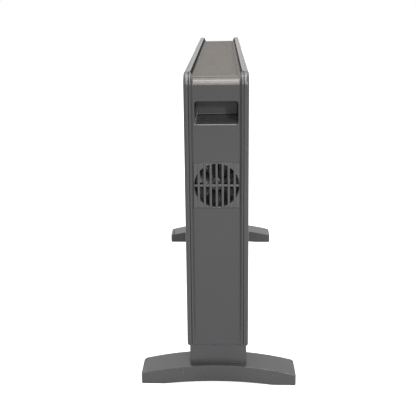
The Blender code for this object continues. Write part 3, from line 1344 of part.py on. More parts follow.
def build_indicator_lens():
    """Build the domed lens of the indicator lamp."""
    seat = CAP_FIELD + FIT_GAP
    flange = LENS_FLANGE_DIAMETER / 2
    radius = LENS_DIAMETER / 2
    profile = (
        (0, -(seat + LENS_RISE)), (radius, -(seat + LENS_RISE)), (flange, -(seat + LENS_RISE / 2)),
        (flange, -seat), (radius, -seat), (radius, -(seat - LENS_LENGTH)), (0, -(seat - LENS_LENGTH)),
    )
    shape = turned(profile, "X", (0, BODY_TOP - LENS_DROP), ROUND_STEPS)
    add_piece("indicator_lens", shape, "red_lens", smooth=True)


def build_cord_inlet():
    """Build the bush that the supply lead would pass through."""
    seat = CAP_FIELD + FIT_GAP
    flange = INLET_FLANGE_DIAMETER / 2
    radius = INLET_DIAMETER / 2
    bore = INLET_BORE_DIAMETER / 2
    profile = (
        (bore, -(seat + INLET_FLANGE)), (flange - INLET_FLANGE / 2, -(seat + INLET_FLANGE)),
        (flange, -(seat + INLET_FLANGE / 2)), (flange, -seat), (radius, -seat),
        (radius, -(seat - INLET_LENGTH)), (bore, -(seat - INLET_LENGTH)),
    )
    shape = turned(profile, "X", (0, BODY_BOTTOM + INLET_RISE), ROUND_STEPS, True)
    add_piece("cord_inlet", shape, "black_plastic", smooth=True)


def build_terminal_block():
    """Build the notched terminal block on the bottom plate."""
    half_length = TERMINAL_LENGTH / 2
    half_width = TERMINAL_WIDTH / 2
    base = STAND_BASE
    low = (TERMINAL_CENTRE - half_length, -half_width, base)
    high = (TERMINAL_CENTRE + half_length, half_width, base + TERMINAL_HEIGHT)
    terminal = add_piece("terminal_block", block(low, high), "ceramic")
    notches = []
    for index in range(TERMINAL_NOTCH_COUNT):
        share = (index + 0.5) / TERMINAL_NOTCH_COUNT
        middle = TERMINAL_CENTRE - half_length + TERMINAL_LENGTH * share
        notch_low = (middle - TERMINAL_NOTCH_WIDTH / 2, -half_width - CUT_OVERRUN, high[2] - TERMINAL_NOTCH_DEPTH)
        notch_high = (middle + TERMINAL_NOTCH_WIDTH / 2, half_width + CUT_OVERRUN, high[2] + CUT_OVERRUN)
        notches.append(block(notch_low, notch_high))
    cut(terminal, *notches)


# Screws


def build_screws():
    """Add the screws of the caps, the rear panel, the shroud and the motor."""
    for end, name in ((FAN_END, "cap_screw_fan_end"), (CONTROL_END, "cap_screw_control_end")):
        length = BOTTOM_TOP + CAP_SCREW_REACH - CAP_SCREW_TOP
        centre = end * (BODY_END - CAP_SCREW_INSET), 0
        add_flush_screw(name, "Z", centre, CAP_SCREW_TOP, 1, CAP_SCREW_DIAMETER, length)
    number = 0
    for end in (FAN_END, CONTROL_END):
        for height in panel_screw_heights():
            number += 1
            name = f"panel_screw_{number}"
            centre = end * SCREW_X, height
            length = PANEL_SCREW_TOP - CAP_INNER_HALF + PANEL_SCREW_REACH
            add_flush_screw(name, "Y", centre, PANEL_SCREW_TOP, -1, PANEL_SCREW_DIAMETER, length)
    seat = BRACKET_FOOT_FRONT - BRACKET_SHEET - FIT_GAP
    length = CAP_INSIDE + CAP_WALL / 2 - FIT_GAP - seat
    for name, height in zip(("shroud_screw_lower", "shroud_screw_upper"), shroud_screw_heights()):
        add_screw(name, "X", (0, height), seat, 1, SHROUD_SCREW_DIAMETER, length)
    seat = MOTOR_BACK - FIT_GAP
    length = BRACKET_PLATE_FRONT + MOTOR_SCREW_REACH - seat
    for name, height in zip(("motor_screw_lower", "motor_screw_upper"), motor_screw_heights()):
        add_screw(name, "X", (0, height), seat, 1, MOTOR_SCREW_DIAMETER, length)


def build_fan():
    """Build everything behind the fan grille."""
    build_fan_shroud()
    build_fan_bracket()
    build_motor_core()
    build_motor_coil()
    build_bearings()
    build_rotor()
    build_impeller()


def build_controls():
    """Build the thermostat, the switches, the lens, the inlet and the terminal block."""
    build_thermostat()
    build_thermostat_shaft()
    build_knob()
    build_switches()
    build_indicator_lens()
    build_cord_inlet()
    build_terminal_block()


def main():
    """Build the whole heater."""
    clear_scene()
    build_panels()
    build_fan_end_cap()
    build_control_end_cap()
    build_fan_grille()
    build_fan()
    build_top_grille()
    build_bottom_plate()
    build_feet()
    build_heating()
    build_heat_shield()
    build_thermal_cutout()
    build_controls()
    build_screws()


main()
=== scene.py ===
"""Looks of a slim convector heater with a fan in its end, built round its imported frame.

Metres, +Z up. X runs along the heater with the fan at +X, and the front faces -Y. Each piece is shaped
at the fan end and on the rear side, and mirrored where it belongs to the other end or side.
"""

import logging
import math
from collections.abc import Callable, Sequence
from dataclasses import dataclass
from enum import Enum

import bmesh
import bpy
from mathutils import Matrix, Vector

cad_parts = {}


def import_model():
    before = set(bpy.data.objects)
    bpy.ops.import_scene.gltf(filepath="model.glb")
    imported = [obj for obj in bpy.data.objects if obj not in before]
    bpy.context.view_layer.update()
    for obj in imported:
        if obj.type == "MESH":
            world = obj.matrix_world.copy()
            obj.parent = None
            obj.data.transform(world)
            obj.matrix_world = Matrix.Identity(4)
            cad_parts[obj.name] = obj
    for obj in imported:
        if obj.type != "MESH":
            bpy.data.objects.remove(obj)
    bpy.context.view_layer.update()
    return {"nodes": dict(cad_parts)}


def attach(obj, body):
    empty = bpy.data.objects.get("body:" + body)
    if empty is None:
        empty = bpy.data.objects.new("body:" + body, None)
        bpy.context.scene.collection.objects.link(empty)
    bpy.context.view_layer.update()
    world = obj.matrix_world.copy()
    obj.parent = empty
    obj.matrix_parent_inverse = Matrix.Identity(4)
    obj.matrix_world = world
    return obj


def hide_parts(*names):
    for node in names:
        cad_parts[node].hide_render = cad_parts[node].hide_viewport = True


LOG = logging.getLogger("heater")

Point = tuple[float, float]
Triple = tuple[float, float, float]
Colour = tuple[float, float, float]

HEATER = "heater_body"

# Two places nearer than TOUCH are one. A tool runs OVERRUN past what it cuts. Fixed pieces are FIT apart.
# Faces that turn less than FLAT_DEG are one flat face, and points nearer than WELD are one point.
TOUCH = 0.00001
OVERRUN = 0.002
FIT = 0.0003
FLAT_DEG = 0.05
WELD = TOUCH / 10

# What pieces share: the caps' recessed field along X, heights on the caps, and the seat of a screw.
FIELD = 0.3594
FAN_HEIGHT = 0.3028
SWITCH_HEIGHT = 0.236
LENS_HEIGHT = 0.34
INLET_HEIGHT = 0.113
SCREW_HEAD = 0.00315
SCREW_SHANK = 0.0018
SCREW_STEPS = 32

WHITE = (1, 1, 1, 1)

# The part of its range that a noise mostly fills, and the least roughness of any finish.
NOISE_SPAN = (0.25, 0.75)
LEAST_ROUGHNESS = 0.02


class Axis(Enum):
    """The direction that an outline is pushed along."""

    X = "X"
    Y = "Y"
    Z = "Z"

    def spot(self, first: float, second: float, along: float) -> Vector:
        """Return the point with two plane coordinates and a distance along the axis."""
        places = {"X": (along, first, second), "Y": (first, along, second), "Z": (first, second, along)}
        return Vector(places[self.value])


class Combine(Enum):
    """The ways to combine two solids."""

    JOIN = "UNION"
    CUT = "DIFFERENCE"


class End(Enum):
    """The heater's two ends, as signs along X."""

    FAN = 1
    CONTROL = -1


class Side(Enum):
    """The heater's two long sides, as signs along Y."""

    FRONT = -1
    REAR = 1


class SwitchJob(Enum):
    """The three rocker switches, with their places across the heater."""

    LOW_HEAT = -0.0185
    HIGH_HEAT = 0.0
    FAN = 0.0185


class Grain(Enum):
    """The direction in which a finish's fine grain is drawn out."""

    EVEN = (1.0, 1.0, 1.0)
    ALONG_X = (0.04, 1.0, 1.0)


# Outlines


def arc(centre: Point, radius: float, start_deg: float, sweep_deg: float, steps: int) -> list[Point]:
    """Return the points of an arc, both ends included.

    Args:
        centre: The arc's centre.
        radius: Its radius.
        start_deg: The angle of its first point.
        sweep_deg: The angle that it turns through.
        steps: How many chords it has.

    Returns:
        The points in order.
    """
    points = []
    for step in range(steps + 1):
        angle = math.radians(start_deg + sweep_deg * step / steps)
        points.append((centre[0] + radius * math.cos(angle), centre[1] + radius * math.sin(angle)))
    return points


def filleted(corners: Sequence[Triple], closed: bool = True, step_deg: float = 7.5) -> list[Point]:
    """Round the corners of a path.

    Args:
        corners: Each corner's two coordinates and its radius.
        closed: Whether the path runs back to its start.
        step_deg: The largest turn between two points of a rounded corner.

    Returns:
        The rounded path's points.
    """
    points: list[Point] = []
    count = len(corners)
    for index, (u, v, radius) in enumerate(corners):
        at_end = not closed and index in (0, count - 1)
        if radius <= 0 or at_end:
            points.append((u, v))
            continue
        here = Vector((u, v))
        before = (Vector(corners[index - 1][:2]) - here).normalized()
        after = (Vector(corners[(index + 1) % count][:2]) - here).normalized()
        opening = before.angle(after)
        start = here + before * radius / math.tan(opening / 2)
        centre = here + (before + after).normalized() * radius / math.sin(opening / 2)
        turn = math.degrees(math.pi - opening)
        if before.x * after.y - before.y * after.x > 0:
            turn = -turn
        steps = max(2, round(abs(turn) / step_deg))
        points += arc(centre, radius, math.degrees(math.atan2(*(start - centre).yx)), turn, steps)
    return points


def rounded_box(centre: Point, width: float, height: float, radius: float,
                step_deg: float = 7.5) -> list[Point]:
    """Return a rectangle's outline with rounded corners.

    Args:
        centre: The rectangle's centre.
        width: Its size along the first coordinate.
        height: Its size along the second coordinate.
        radius: The radius of its corners.
        step_deg: The largest turn between two points of a corner.

    Returns:
        The outline's points.
    """
    right, up = width / 2, height / 2
    signs = (-1, -1), (1, -1), (1, 1), (-1, 1)
    corners = [(centre[0] + a * right, centre[1] + b * up, radius) for a, b in signs]
    return filleted(corners, step_deg=step_deg)


# Solids


def placed(name: str, data: bpy.types.ID) -> bpy.types.Object:
    """Put a new object into the scene.

    Args:
        name: The object's name.
        data: Its mesh, lamp or camera.

    Returns:
        The object, at the origin.
    """
    made = bpy.data.objects.new(name, data)
    bpy.context.scene.collection.objects.link(made)
    return made


def extruded(shape: bmesh.types.BMesh, faces: list[bmesh.types.BMFace]) -> list[bmesh.types.BMVert]:
    """Draw faces out of a mesh and return their new corners, which haven't moved yet."""
    pushed = bmesh.ops.extrude_face_region(shape, geom=faces)["geom"]
    return [item for item in pushed if isinstance(item, bmesh.types.BMVert)]


class Solid:
    """A closed mesh that is being shaped, in the heater's own coordinates."""

    def __init__(self, shape: bmesh.types.BMesh) -> None:
        """Take over a mesh and turn its faces outwards."""
        self.shape = shape
        bmesh.ops.recalc_face_normals(shape, faces=shape.faces)

    @classmethod
    def prism(cls, outline: Sequence[Point], axis: Axis, start: float, end: float) -> "Solid":
        """Push an outline along an axis.

        Args:
            outline: The outline's points.
            axis: The direction.
            start: Where the push starts.
            end: Where it ends.

        Returns:
            The solid.
        """
        shape = bmesh.new()
        face = shape.faces.new([shape.verts.new(axis.spot(u, v, start)) for u, v in outline])
        bmesh.ops.translate(shape, verts=extruded(shape, [face]), vec=axis.spot(0, 0, end - start))
        return cls(shape)

    @classmethod
    def bar(cls, centre: Point, width: float, height: float, corner: float, start: float,
            end: float) -> "Solid":
        """Return a bar along X whose section is a rounded rectangle."""
        return cls.prism(rounded_box(centre, width, height, corner), Axis.X, start, end)

    @classmethod
    def rod(cls, axis: Axis, centre: Point, radius: float, start: float, end: float,
            steps: int = 48) -> "Solid":
        """Return a cylinder along an axis."""
        return cls.prism(arc(centre, radius, 0, 360, steps)[:-1], axis, start, end)

    @classmethod
    def block(cls, low: Sequence[float], high: Sequence[float]) -> "Solid":
        """Return a box between its lowest and its highest corner.

        Args:
            low: The lowest corner.
            high: The highest corner.

        Returns:
            The solid.
        """
        shape = bmesh.new()
        bmesh.ops.create_cube(shape, size=1.0)
        bmesh.ops.scale(shape, verts=shape.verts, vec=Vector(high) - Vector(low))
        bmesh.ops.translate(shape, verts=shape.verts, vec=(Vector(high) + Vector(low)) / 2)
        return cls(shape)

    @classmethod
    def turned(cls, profile: Sequence[Point], axis: Axis, centre: Point, steps: int = 64,
               closed: bool = False) -> "Solid":
        """Spin a profile into a round solid.

        Args:
            profile: Points as radius and distance along the axis.
            axis: The axis of the spin.
            centre: Where the axis crosses the plane.
            steps: How many steps the spin has.
            closed: Whether the profile is a ring that doesn't touch the axis.

        Returns:
            The solid.
        """
        shape = bmesh.new()
        u, v = centre
        verts = [shape.verts.new(axis.spot(u + radius, v, along)) for radius, along in profile]
        edges = [shape.edges.new(pair) for pair in zip(verts, verts[1:])]
        if closed:
            edges.append(shape.edges.new((verts[-1], verts[0])))
        bmesh.ops.spin(
            shape, geom=verts + edges, cent=axis.spot(u, v, 0), axis=axis.spot(0, 0, 1), angle=math.tau,
            steps=steps, use_merge=True,
        )
        bmesh.ops.remove_doubles(shape, verts=shape.verts, dist=WELD)
        return cls(shape)

    @classmethod
    def screw_seat(cls, axis: Axis, centre: Point, top: float, inward: int, depth: float) -> "Solid":
        """Shape the tool of a countersunk screw's seat.

        Args:
            axis: The screw's axis.
            centre: Where the axis crosses the plane.
            top: Where the head's top lies.
            inward: The sign of the way in.
            depth: How deep the hole is.

        Returns:
            The tool.
        """
        profile = (
            (0, -OVERRUN), (SCREW_HEAD, -OVERRUN), (SCREW_HEAD, 0),
            (SCREW_SHANK, SCREW_HEAD - SCREW_SHANK), (SCREW_SHANK, depth), (0, depth),
        )
        points = [(radius, top + inward * sunk) for radius, sunk in profile]
        return cls.turned(points, axis, centre, SCREW_STEPS)

    @classmethod
    def loft(cls, rings: Sequence[Sequence[Vector]]) -> "Solid":
        """Bridge rings of equal length and close both ends.

        Args:
            rings: The rings in order.

        Returns:
            The solid.
        """
        shape = bmesh.new()
        loops = []
        for ring in rings:
            verts = [shape.verts.new(point) for point in ring]
            loops.append([shape.edges.new((verts[index - 1], verts[index])) for index in range(len(verts))])
        for near, far in zip(loops, loops[1:]):
            bmesh.ops.bridge_loops(shape, edges=near + far)
        for cap in (loops[0], loops[-1]):
            bmesh.ops.contextual_create(shape, geom=cap)
        return cls(shape)

    @classmethod
    def gathered(cls, solids: Sequence["Solid"]) -> "Solid":
        """Put several solids side by side into one.

        Args:
            solids: The solids, which are used up.

        Returns:
            One solid that holds them all.
        """
        shape = bmesh.new()
        for solid in solids:
            scratch = solid.to_mesh("scratch")
            shape.from_mesh(scratch)
            bpy.data.meshes.remove(scratch)
        return cls(shape)

    def to_mesh(self, name: str) -> bpy.types.Mesh:
        """Write the solid to a new mesh and let go of it.

        Args:
            name: The mesh's name.

        Returns:
            The mesh.
        """
        mesh = bpy.data.meshes.new(name)
        self.shape.to_mesh(mesh)
        self.shape.free()
        return mesh

    def bevel(self, chosen: Callable[[bmesh.types.BMEdge], bool], width: float, segments: int = 3) -> "Solid":
        """Round the chosen edges.

        Args:
            chosen: Tells whether an edge is rounded.
            width: How far the rounding reaches.
            segments: How many steps it has.

        Returns:
            This solid.
        """
        self.shape.normal_update()
        edges = [edge for edge in self.shape.edges if chosen(edge)]
        bmesh.ops.bevel(
            self.shape, geom=edges, offset=width, offset_type="OFFSET", segments=segments, profile=0.5,
            affect="EDGES", clamp_overlap=True, material=-1,
        )
        return self

    def bevel_front(self, front: float, width: float, segments: int = 3, axis: Axis = Axis.X) -> "Solid":
        """Round the edges of the face that lies foremost along an axis."""
        part, least = "XYZ".index(axis.value), front - TOUCH
        return self.bevel(lambda edge: all(vert.co[part] > least for vert in edge.verts), width, segments)

    def slice(self, axis: Axis, places: Sequence[float]) -> None:
        """Draw new edges round the solid where planes cross it.

        Args:
            axis: The axis that the planes stand across.
            places: Where each plane lies along it.
        """
        shape = self.shape
        for place in places:
            bmesh.ops.bisect_plane(
                shape, geom=shape.verts[:] + shape.edges[:] + shape.faces[:], dist=WELD,
                plane_co=axis.spot(0, 0, place), plane_no=axis.spot(0, 0, 1),
            )

    def combine(self, tools: Sequence["Solid"], how: Combine) -> "Solid":
        """Combine this solid with separate tools, which are used up.

        All are cut into triangles first, so that no face is bent, and flat stretches are joined again after.

        Args:
            tools: The other solids.
            how: The way to combine them.

        Returns:
            This solid.
        """
        tool = Solid.gathered(tools)
        for solid in (self, tool):
            bmesh.ops.triangulate(solid.shape, faces=solid.shape.faces)
        base = placed("base", self.to_mesh("base"))
        other = placed("tool", tool.to_mesh("tool"))
        change = base.modifiers.new("combine", "BOOLEAN")
        change.operation = how.value
        change.solver = "EXACT"
        change.object = other
        graph = bpy.context.evaluated_depsgraph_get()
        result = bpy.data.meshes.new_from_object(base.evaluated_get(graph), depsgraph=graph)
        self.shape = bmesh.new()
        self.shape.from_mesh(result)
        bmesh.ops.dissolve_limit(
            self.shape, angle_limit=math.radians(FLAT_DEG), verts=self.shape.verts, edges=self.shape.edges,
        )
        for mesh in (base.data, other.data, result):
            bpy.data.meshes.remove(mesh)
        return self

    def cut(self, *tools: "Solid") -> "Solid":
        """Cut separate tools out of this solid."""
        return self.combine(tools, Combine.CUT)

    def join(self, *tools: "Solid") -> "Solid":
        """Fuse separate tools onto this solid."""
        return self.combine(tools, Combine.JOIN)

    def mirror(self, axis: Axis) -> "Solid":
        """Turn the solid into its mirror image across the heater's middle.

        Args:
            axis: The axis whose sign changes.

        Returns:
            This solid.
        """
        flip = Vector((1, 1, 1)) - 2 * axis.spot(0, 0, 1)
        bmesh.ops.scale(self.shape, verts=self.shape.verts, vec=flip)
        bmesh.ops.reverse_faces(self.shape, faces=self.shape.faces)
        return self

    def turn(self, axis: Axis, centre: Sequence[float], angle: float) -> "Solid":
        """Turn the solid about an axis through a point, by an angle in radians."""
        bmesh.ops.rotate(
            self.shape, verts=self.shape.verts, cent=centre, matrix=Matrix.Rotation(angle, 3, axis.value),
        )
        return self

    def repaint(self, chosen: Callable[[bmesh.types.BMFace], bool]) -> None:
        """Mark faces for the piece's second finish.

        Args:
            chosen: Tells whether a face is marked.
        """
        self.shape.normal_update()
        for face in self.shape.faces:
            face.material_index = int(chosen(face))

    def piece(self, name: str, finish: "Finish", *replaced: str, body: str = HEATER, sharp_deg: float = 34.0,
              second: "Finish | None" = None) -> None:
        """Make the finished piece and hang it on its body.

        Args:
            name: The piece's name.
            finish: Its finish.
            replaced: The frame's nodes that it stands for.
            body: The body that it moves with.
            sharp_deg: Edges that turn more than this stay sharp.
            second: The finish of the faces that were marked for it.
        """
        loose = sum(not edge.is_manifold for edge in self.shape.edges)
        if loose:
            LOG.warning("piece %s has %d edges that aren't closed", name, loose)
        mesh = self.to_mesh(name)
        mesh.shade_smooth()
        mesh.set_sharp_from_angle(angle=math.radians(sharp_deg))
        made = placed(name, mesh)
        made.modifiers.new("even_shading", "WEIGHTED_NORMAL").keep_sharp = True
        for coat in filter(None, (finish, second)):
            mesh.materials.append(coat.material())
        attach(made, body)
        if replaced:
            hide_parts(*replaced)
        stands_for = ", ".join(replaced) or "nothing new"
        LOG.info("piece %s, %d faces, stands for %s", name, len(mesh.polygons), stands_for)


# Finishes


class Graph:
    """The nodes of a material or of the world."""

    MIX_FIRST = 6
    MIX_SECOND = 7
    MIX_COLOUR = 2

    def __init__(self, owner: bpy.types.Material | bpy.types.World) -> None:
        """Open the owner's nodes.

        Args:
            owner: The material or the world.
        """
        owner.use_nodes = True
        self.nodes = owner.node_tree.nodes
        self.links = owner.node_tree.links

    def feed(self, node: bpy.types.Node, inputs: dict[str | int, object]) -> bpy.types.Node:
        """Set or link a node's inputs.

        Args:
            node: The node.
            inputs: Each input's value, or the socket that feeds it.

        Returns:
            The node.
        """
        for key, value in inputs.items():
            if isinstance(value, bpy.types.NodeSocket):
                self.links.new(value, node.inputs[key])
            else:
                node.inputs[key].default_value = value
        return node

    def add(self, kind: str, inputs: dict[str | int, object], **settings: str) -> bpy.types.Node:
        """Add a node.

        Args:
            kind: The node's type, without its prefix.
            inputs: Each input's value, or the socket that feeds it.
            settings: The node's own settings.

        Returns:
            The node.
        """
        node = self.nodes.new(f"ShaderNode{kind}")
        for name, value in settings.items():
            setattr(node, name, value)
        return self.feed(node, inputs)

    def place(self) -> bpy.types.NodeSocket:
        """Return the object's own coordinates."""
        return self.add("TexCoord", {}).outputs["Object"]

    def noise(self, place: bpy.types.NodeSocket, size: float, detail: float) -> bpy.types.NodeSocket:
        """Return a noise with patches of one size and some finer layers."""
        return self.add("TexNoise", {"Vector": place, "Scale": 1 / size, "Detail": detail}).outputs["Fac"]

    def ranged(self, value: bpy.types.NodeSocket, source: Point, target: Point) -> bpy.types.NodeSocket:
        """Return a value of the source range, mapped to the target range."""
        return self.add("MapRange", {
            "Value": value, "From Min": source[0], "From Max": source[1],
            "To Min": target[0], "To Max": target[1],
        }).outputs["Result"]


@dataclass(frozen=True)
class Finish:
    """A surface's colour, gloss and fine grain.

    Attributes:
        name: The material's name, which no slot of the frame has.
        slot: The record's slot that it belongs to; not used.
        colour: Its linear colour.
        roughness: Its mean roughness.
        metallic: Its share of metal.
        mottle: How far the colour drifts, as a share.
        mottle_size: The size of the drift's patches.
        gloss_drift: How far the roughness drifts.
        grain_size: The size of the surface's grain.
        grain_depth: The depth of the grain.
        grain: The direction in which the grain is drawn out.
        specular: The strength of the surface's mirror reflection.
        coat: The weight of a clear coat.
    """

    name: str
    slot: str
    colour: Colour
    roughness: float
    metallic: float = 0.0
    mottle: float = 0.05
    mottle_size: float = 0.04
    gloss_drift: float = 0.05
    grain_size: float = 0.0009
    grain_depth: float = 0.00001
    grain: Grain = Grain.EVEN
    specular: float = 0.5
    coat: float = 0.0

    def material(self) -> bpy.types.Material:
        """Make the finish's material on first use.

        Returns:
            The material.
        """
        found = bpy.data.materials.get(self.name)
        if found:
            return found
        made = bpy.data.materials.new(self.name)
        graph = Graph(made)
        place = graph.place()
        graph.feed(graph.nodes["Principled BSDF"], {
            "Base Color": self.drifting_colour(graph, place),
            "Roughness": self.drifting_gloss(graph, place),
            "Normal": self.grain_normal(graph, place),
            "Metallic": self.metallic,
            "Specular IOR Level": self.specular,
            "Coat Weight": self.coat,
        })
        return made

    def drifting_colour(self, graph: Graph, place: bpy.types.NodeSocket) -> bpy.types.NodeSocket:
        """Let the colour drift between a darker and a lighter tone.

        Args:
            graph: The material's nodes.
            place: The coordinates.

        Returns:
            The colour.
        """
        dark, light = ((*[min(part * share, 1) for part in self.colour], 1)
                       for share in (1 - self.mottle, 1 + self.mottle))
        inputs = {
            "Factor": graph.noise(place, self.mottle_size, detail=4),
            graph.MIX_FIRST: dark, graph.MIX_SECOND: light,
        }
        return graph.add("Mix", inputs, data_type="RGBA").outputs[graph.MIX_COLOUR]

    def drifting_gloss(self, graph: Graph, place: bpy.types.NodeSocket) -> bpy.types.NodeSocket:
        """Let the roughness drift around its mean.

        Args:
            graph: The material's nodes.
            place: The coordinates.

        Returns:
            The roughness.
        """
        drift = graph.noise(place, self.mottle_size / 3, detail=3)
        low = max(self.roughness - self.gloss_drift, LEAST_ROUGHNESS)
        high = min(self.roughness + self.gloss_drift, 1)
        return graph.ranged(drift, NOISE_SPAN, (low, high))

    def grain_normal(self, graph: Graph, place: bpy.types.NodeSocket) -> bpy.types.NodeSocket:
        """Raise the surface's fine grain.

        Args:
            graph: The material's nodes.
            place: The coordinates.

        Returns:
            The surface's direction.
        """
        stretch = graph.add("Mapping", {"Vector": place, "Scale": self.grain.value})
        height = graph.noise(stretch.outputs["Vector"], self.grain_size, detail=2)
        inputs = {"Strength": 1.0, "Distance": self.grain_depth, "Height": height}
        return graph.add("Bump", inputs).outputs["Normal"]


PANEL_PAINT = Finish("panel_paint", "dark_paint", (0.038, 0.038, 0.04), 0.26, mottle=0.03, gloss_drift=0.02,
                     grain_depth=0.000004, specular=0.42)
# Painted shade: a darker, rougher paint on the panels' inward faces, so the hem's inner wall beside the rims
# reads as a dark shadowed gap.
PANEL_INNER_SHADE = Finish("panel_inner_painted_shade", "dark_paint", (0.016, 0.016, 0.017), 0.75, mottle=0.08, specular=0.12)
CAP_MOULDING = Finish("cap_moulding", "dark_plastic", (0.033, 0.033, 0.0345), 0.24, mottle=0.03,
                      gloss_drift=0.015, grain_depth=0.000003, specular=0.42)
FOOT_MOULDING = Finish("foot_moulding", "dark_plastic", (0.038, 0.038, 0.0395), 0.26, mottle=0.04,
                       gloss_drift=0.02, grain_depth=0.000006, specular=0.6)
GRILLE_MOULDING = Finish("grille_moulding", "dark_plastic", (0.042, 0.042, 0.044), 0.3, mottle=0.03,
                         gloss_drift=0.02, grain_depth=0.000004)
OUTLET_PAINT = Finish("outlet_paint", "grille_paint", (0.056, 0.05, 0.044), 0.46, specular=0.25)
BLACK_MOULDING = Finish("black_moulding", "black_plastic", (0.018, 0.018, 0.019), 0.42, grain_depth=0.000008)
KNOB_MOULDING = Finish("knob_moulding", "black_plastic", (0.024, 0.024, 0.026), 0.34, grain_depth=0.000006)
MARK_PRINT = Finish("mark_print", "ceramic", (0.78, 0.78, 0.76), 0.5, mottle=0.02)
ZINC = Finish("zinc_sheet", "zinc", (0.4, 0.41, 0.42), 0.42, 0.95, mottle=0.12, mottle_size=0.012,
              gloss_drift=0.1, grain_size=0.0008, grain=Grain.ALONG_X)
# Painted shade: a zinc far darker than bright zinc for the fan's bracket and bearing plates, so they read as
# the shade behind the grille.
SHADED_ZINC = Finish("zinc_painted_shade", "zinc", (0.12, 0.12, 0.125), 0.55, 0.8, mottle=0.12, mottle_size=0.012,
                   gloss_drift=0.08, grain_size=0.0008)
ALUMINIUM = Finish("mill_aluminium", "bright_aluminium", (0.74, 0.74, 0.75), 0.3, 0.95, gloss_drift=0.08,
                   grain_size=0.0006, grain=Grain.ALONG_X)
CERAMIC = Finish("bare_ceramic", "ceramic", (0.8, 0.76, 0.68), 0.6, mottle=0.06, grain_depth=0.00003)
LAMINATIONS = Finish("varnished_laminations", "lamination_steel", (0.2, 0.2, 0.21), 0.45, 0.8, mottle=0.1)
# Painted shade: a dark varnished tape, kept near-black so that the little of it seen through the grille reads
# as the shade inside.
COIL_TAPE = Finish("wound_tape", "coil_tape", (0.035, 0.028, 0.02), 0.5, mottle=0.12, grain_size=0.0014)
RED_LENS = Finish("clear_red_moulding", "red_lens", (0.55, 0.02, 0.015), 0.12, mottle=0.04,
                  grain_depth=0.000002, coat=0.6)
SCREW_STEEL = Finish("plated_screw_steel", "screw_steel", (0.5, 0.5, 0.51), 0.3, 0.95, mottle=0.08,
                     mottle_size=0.004, grain_size=0.0005)


# Side panels


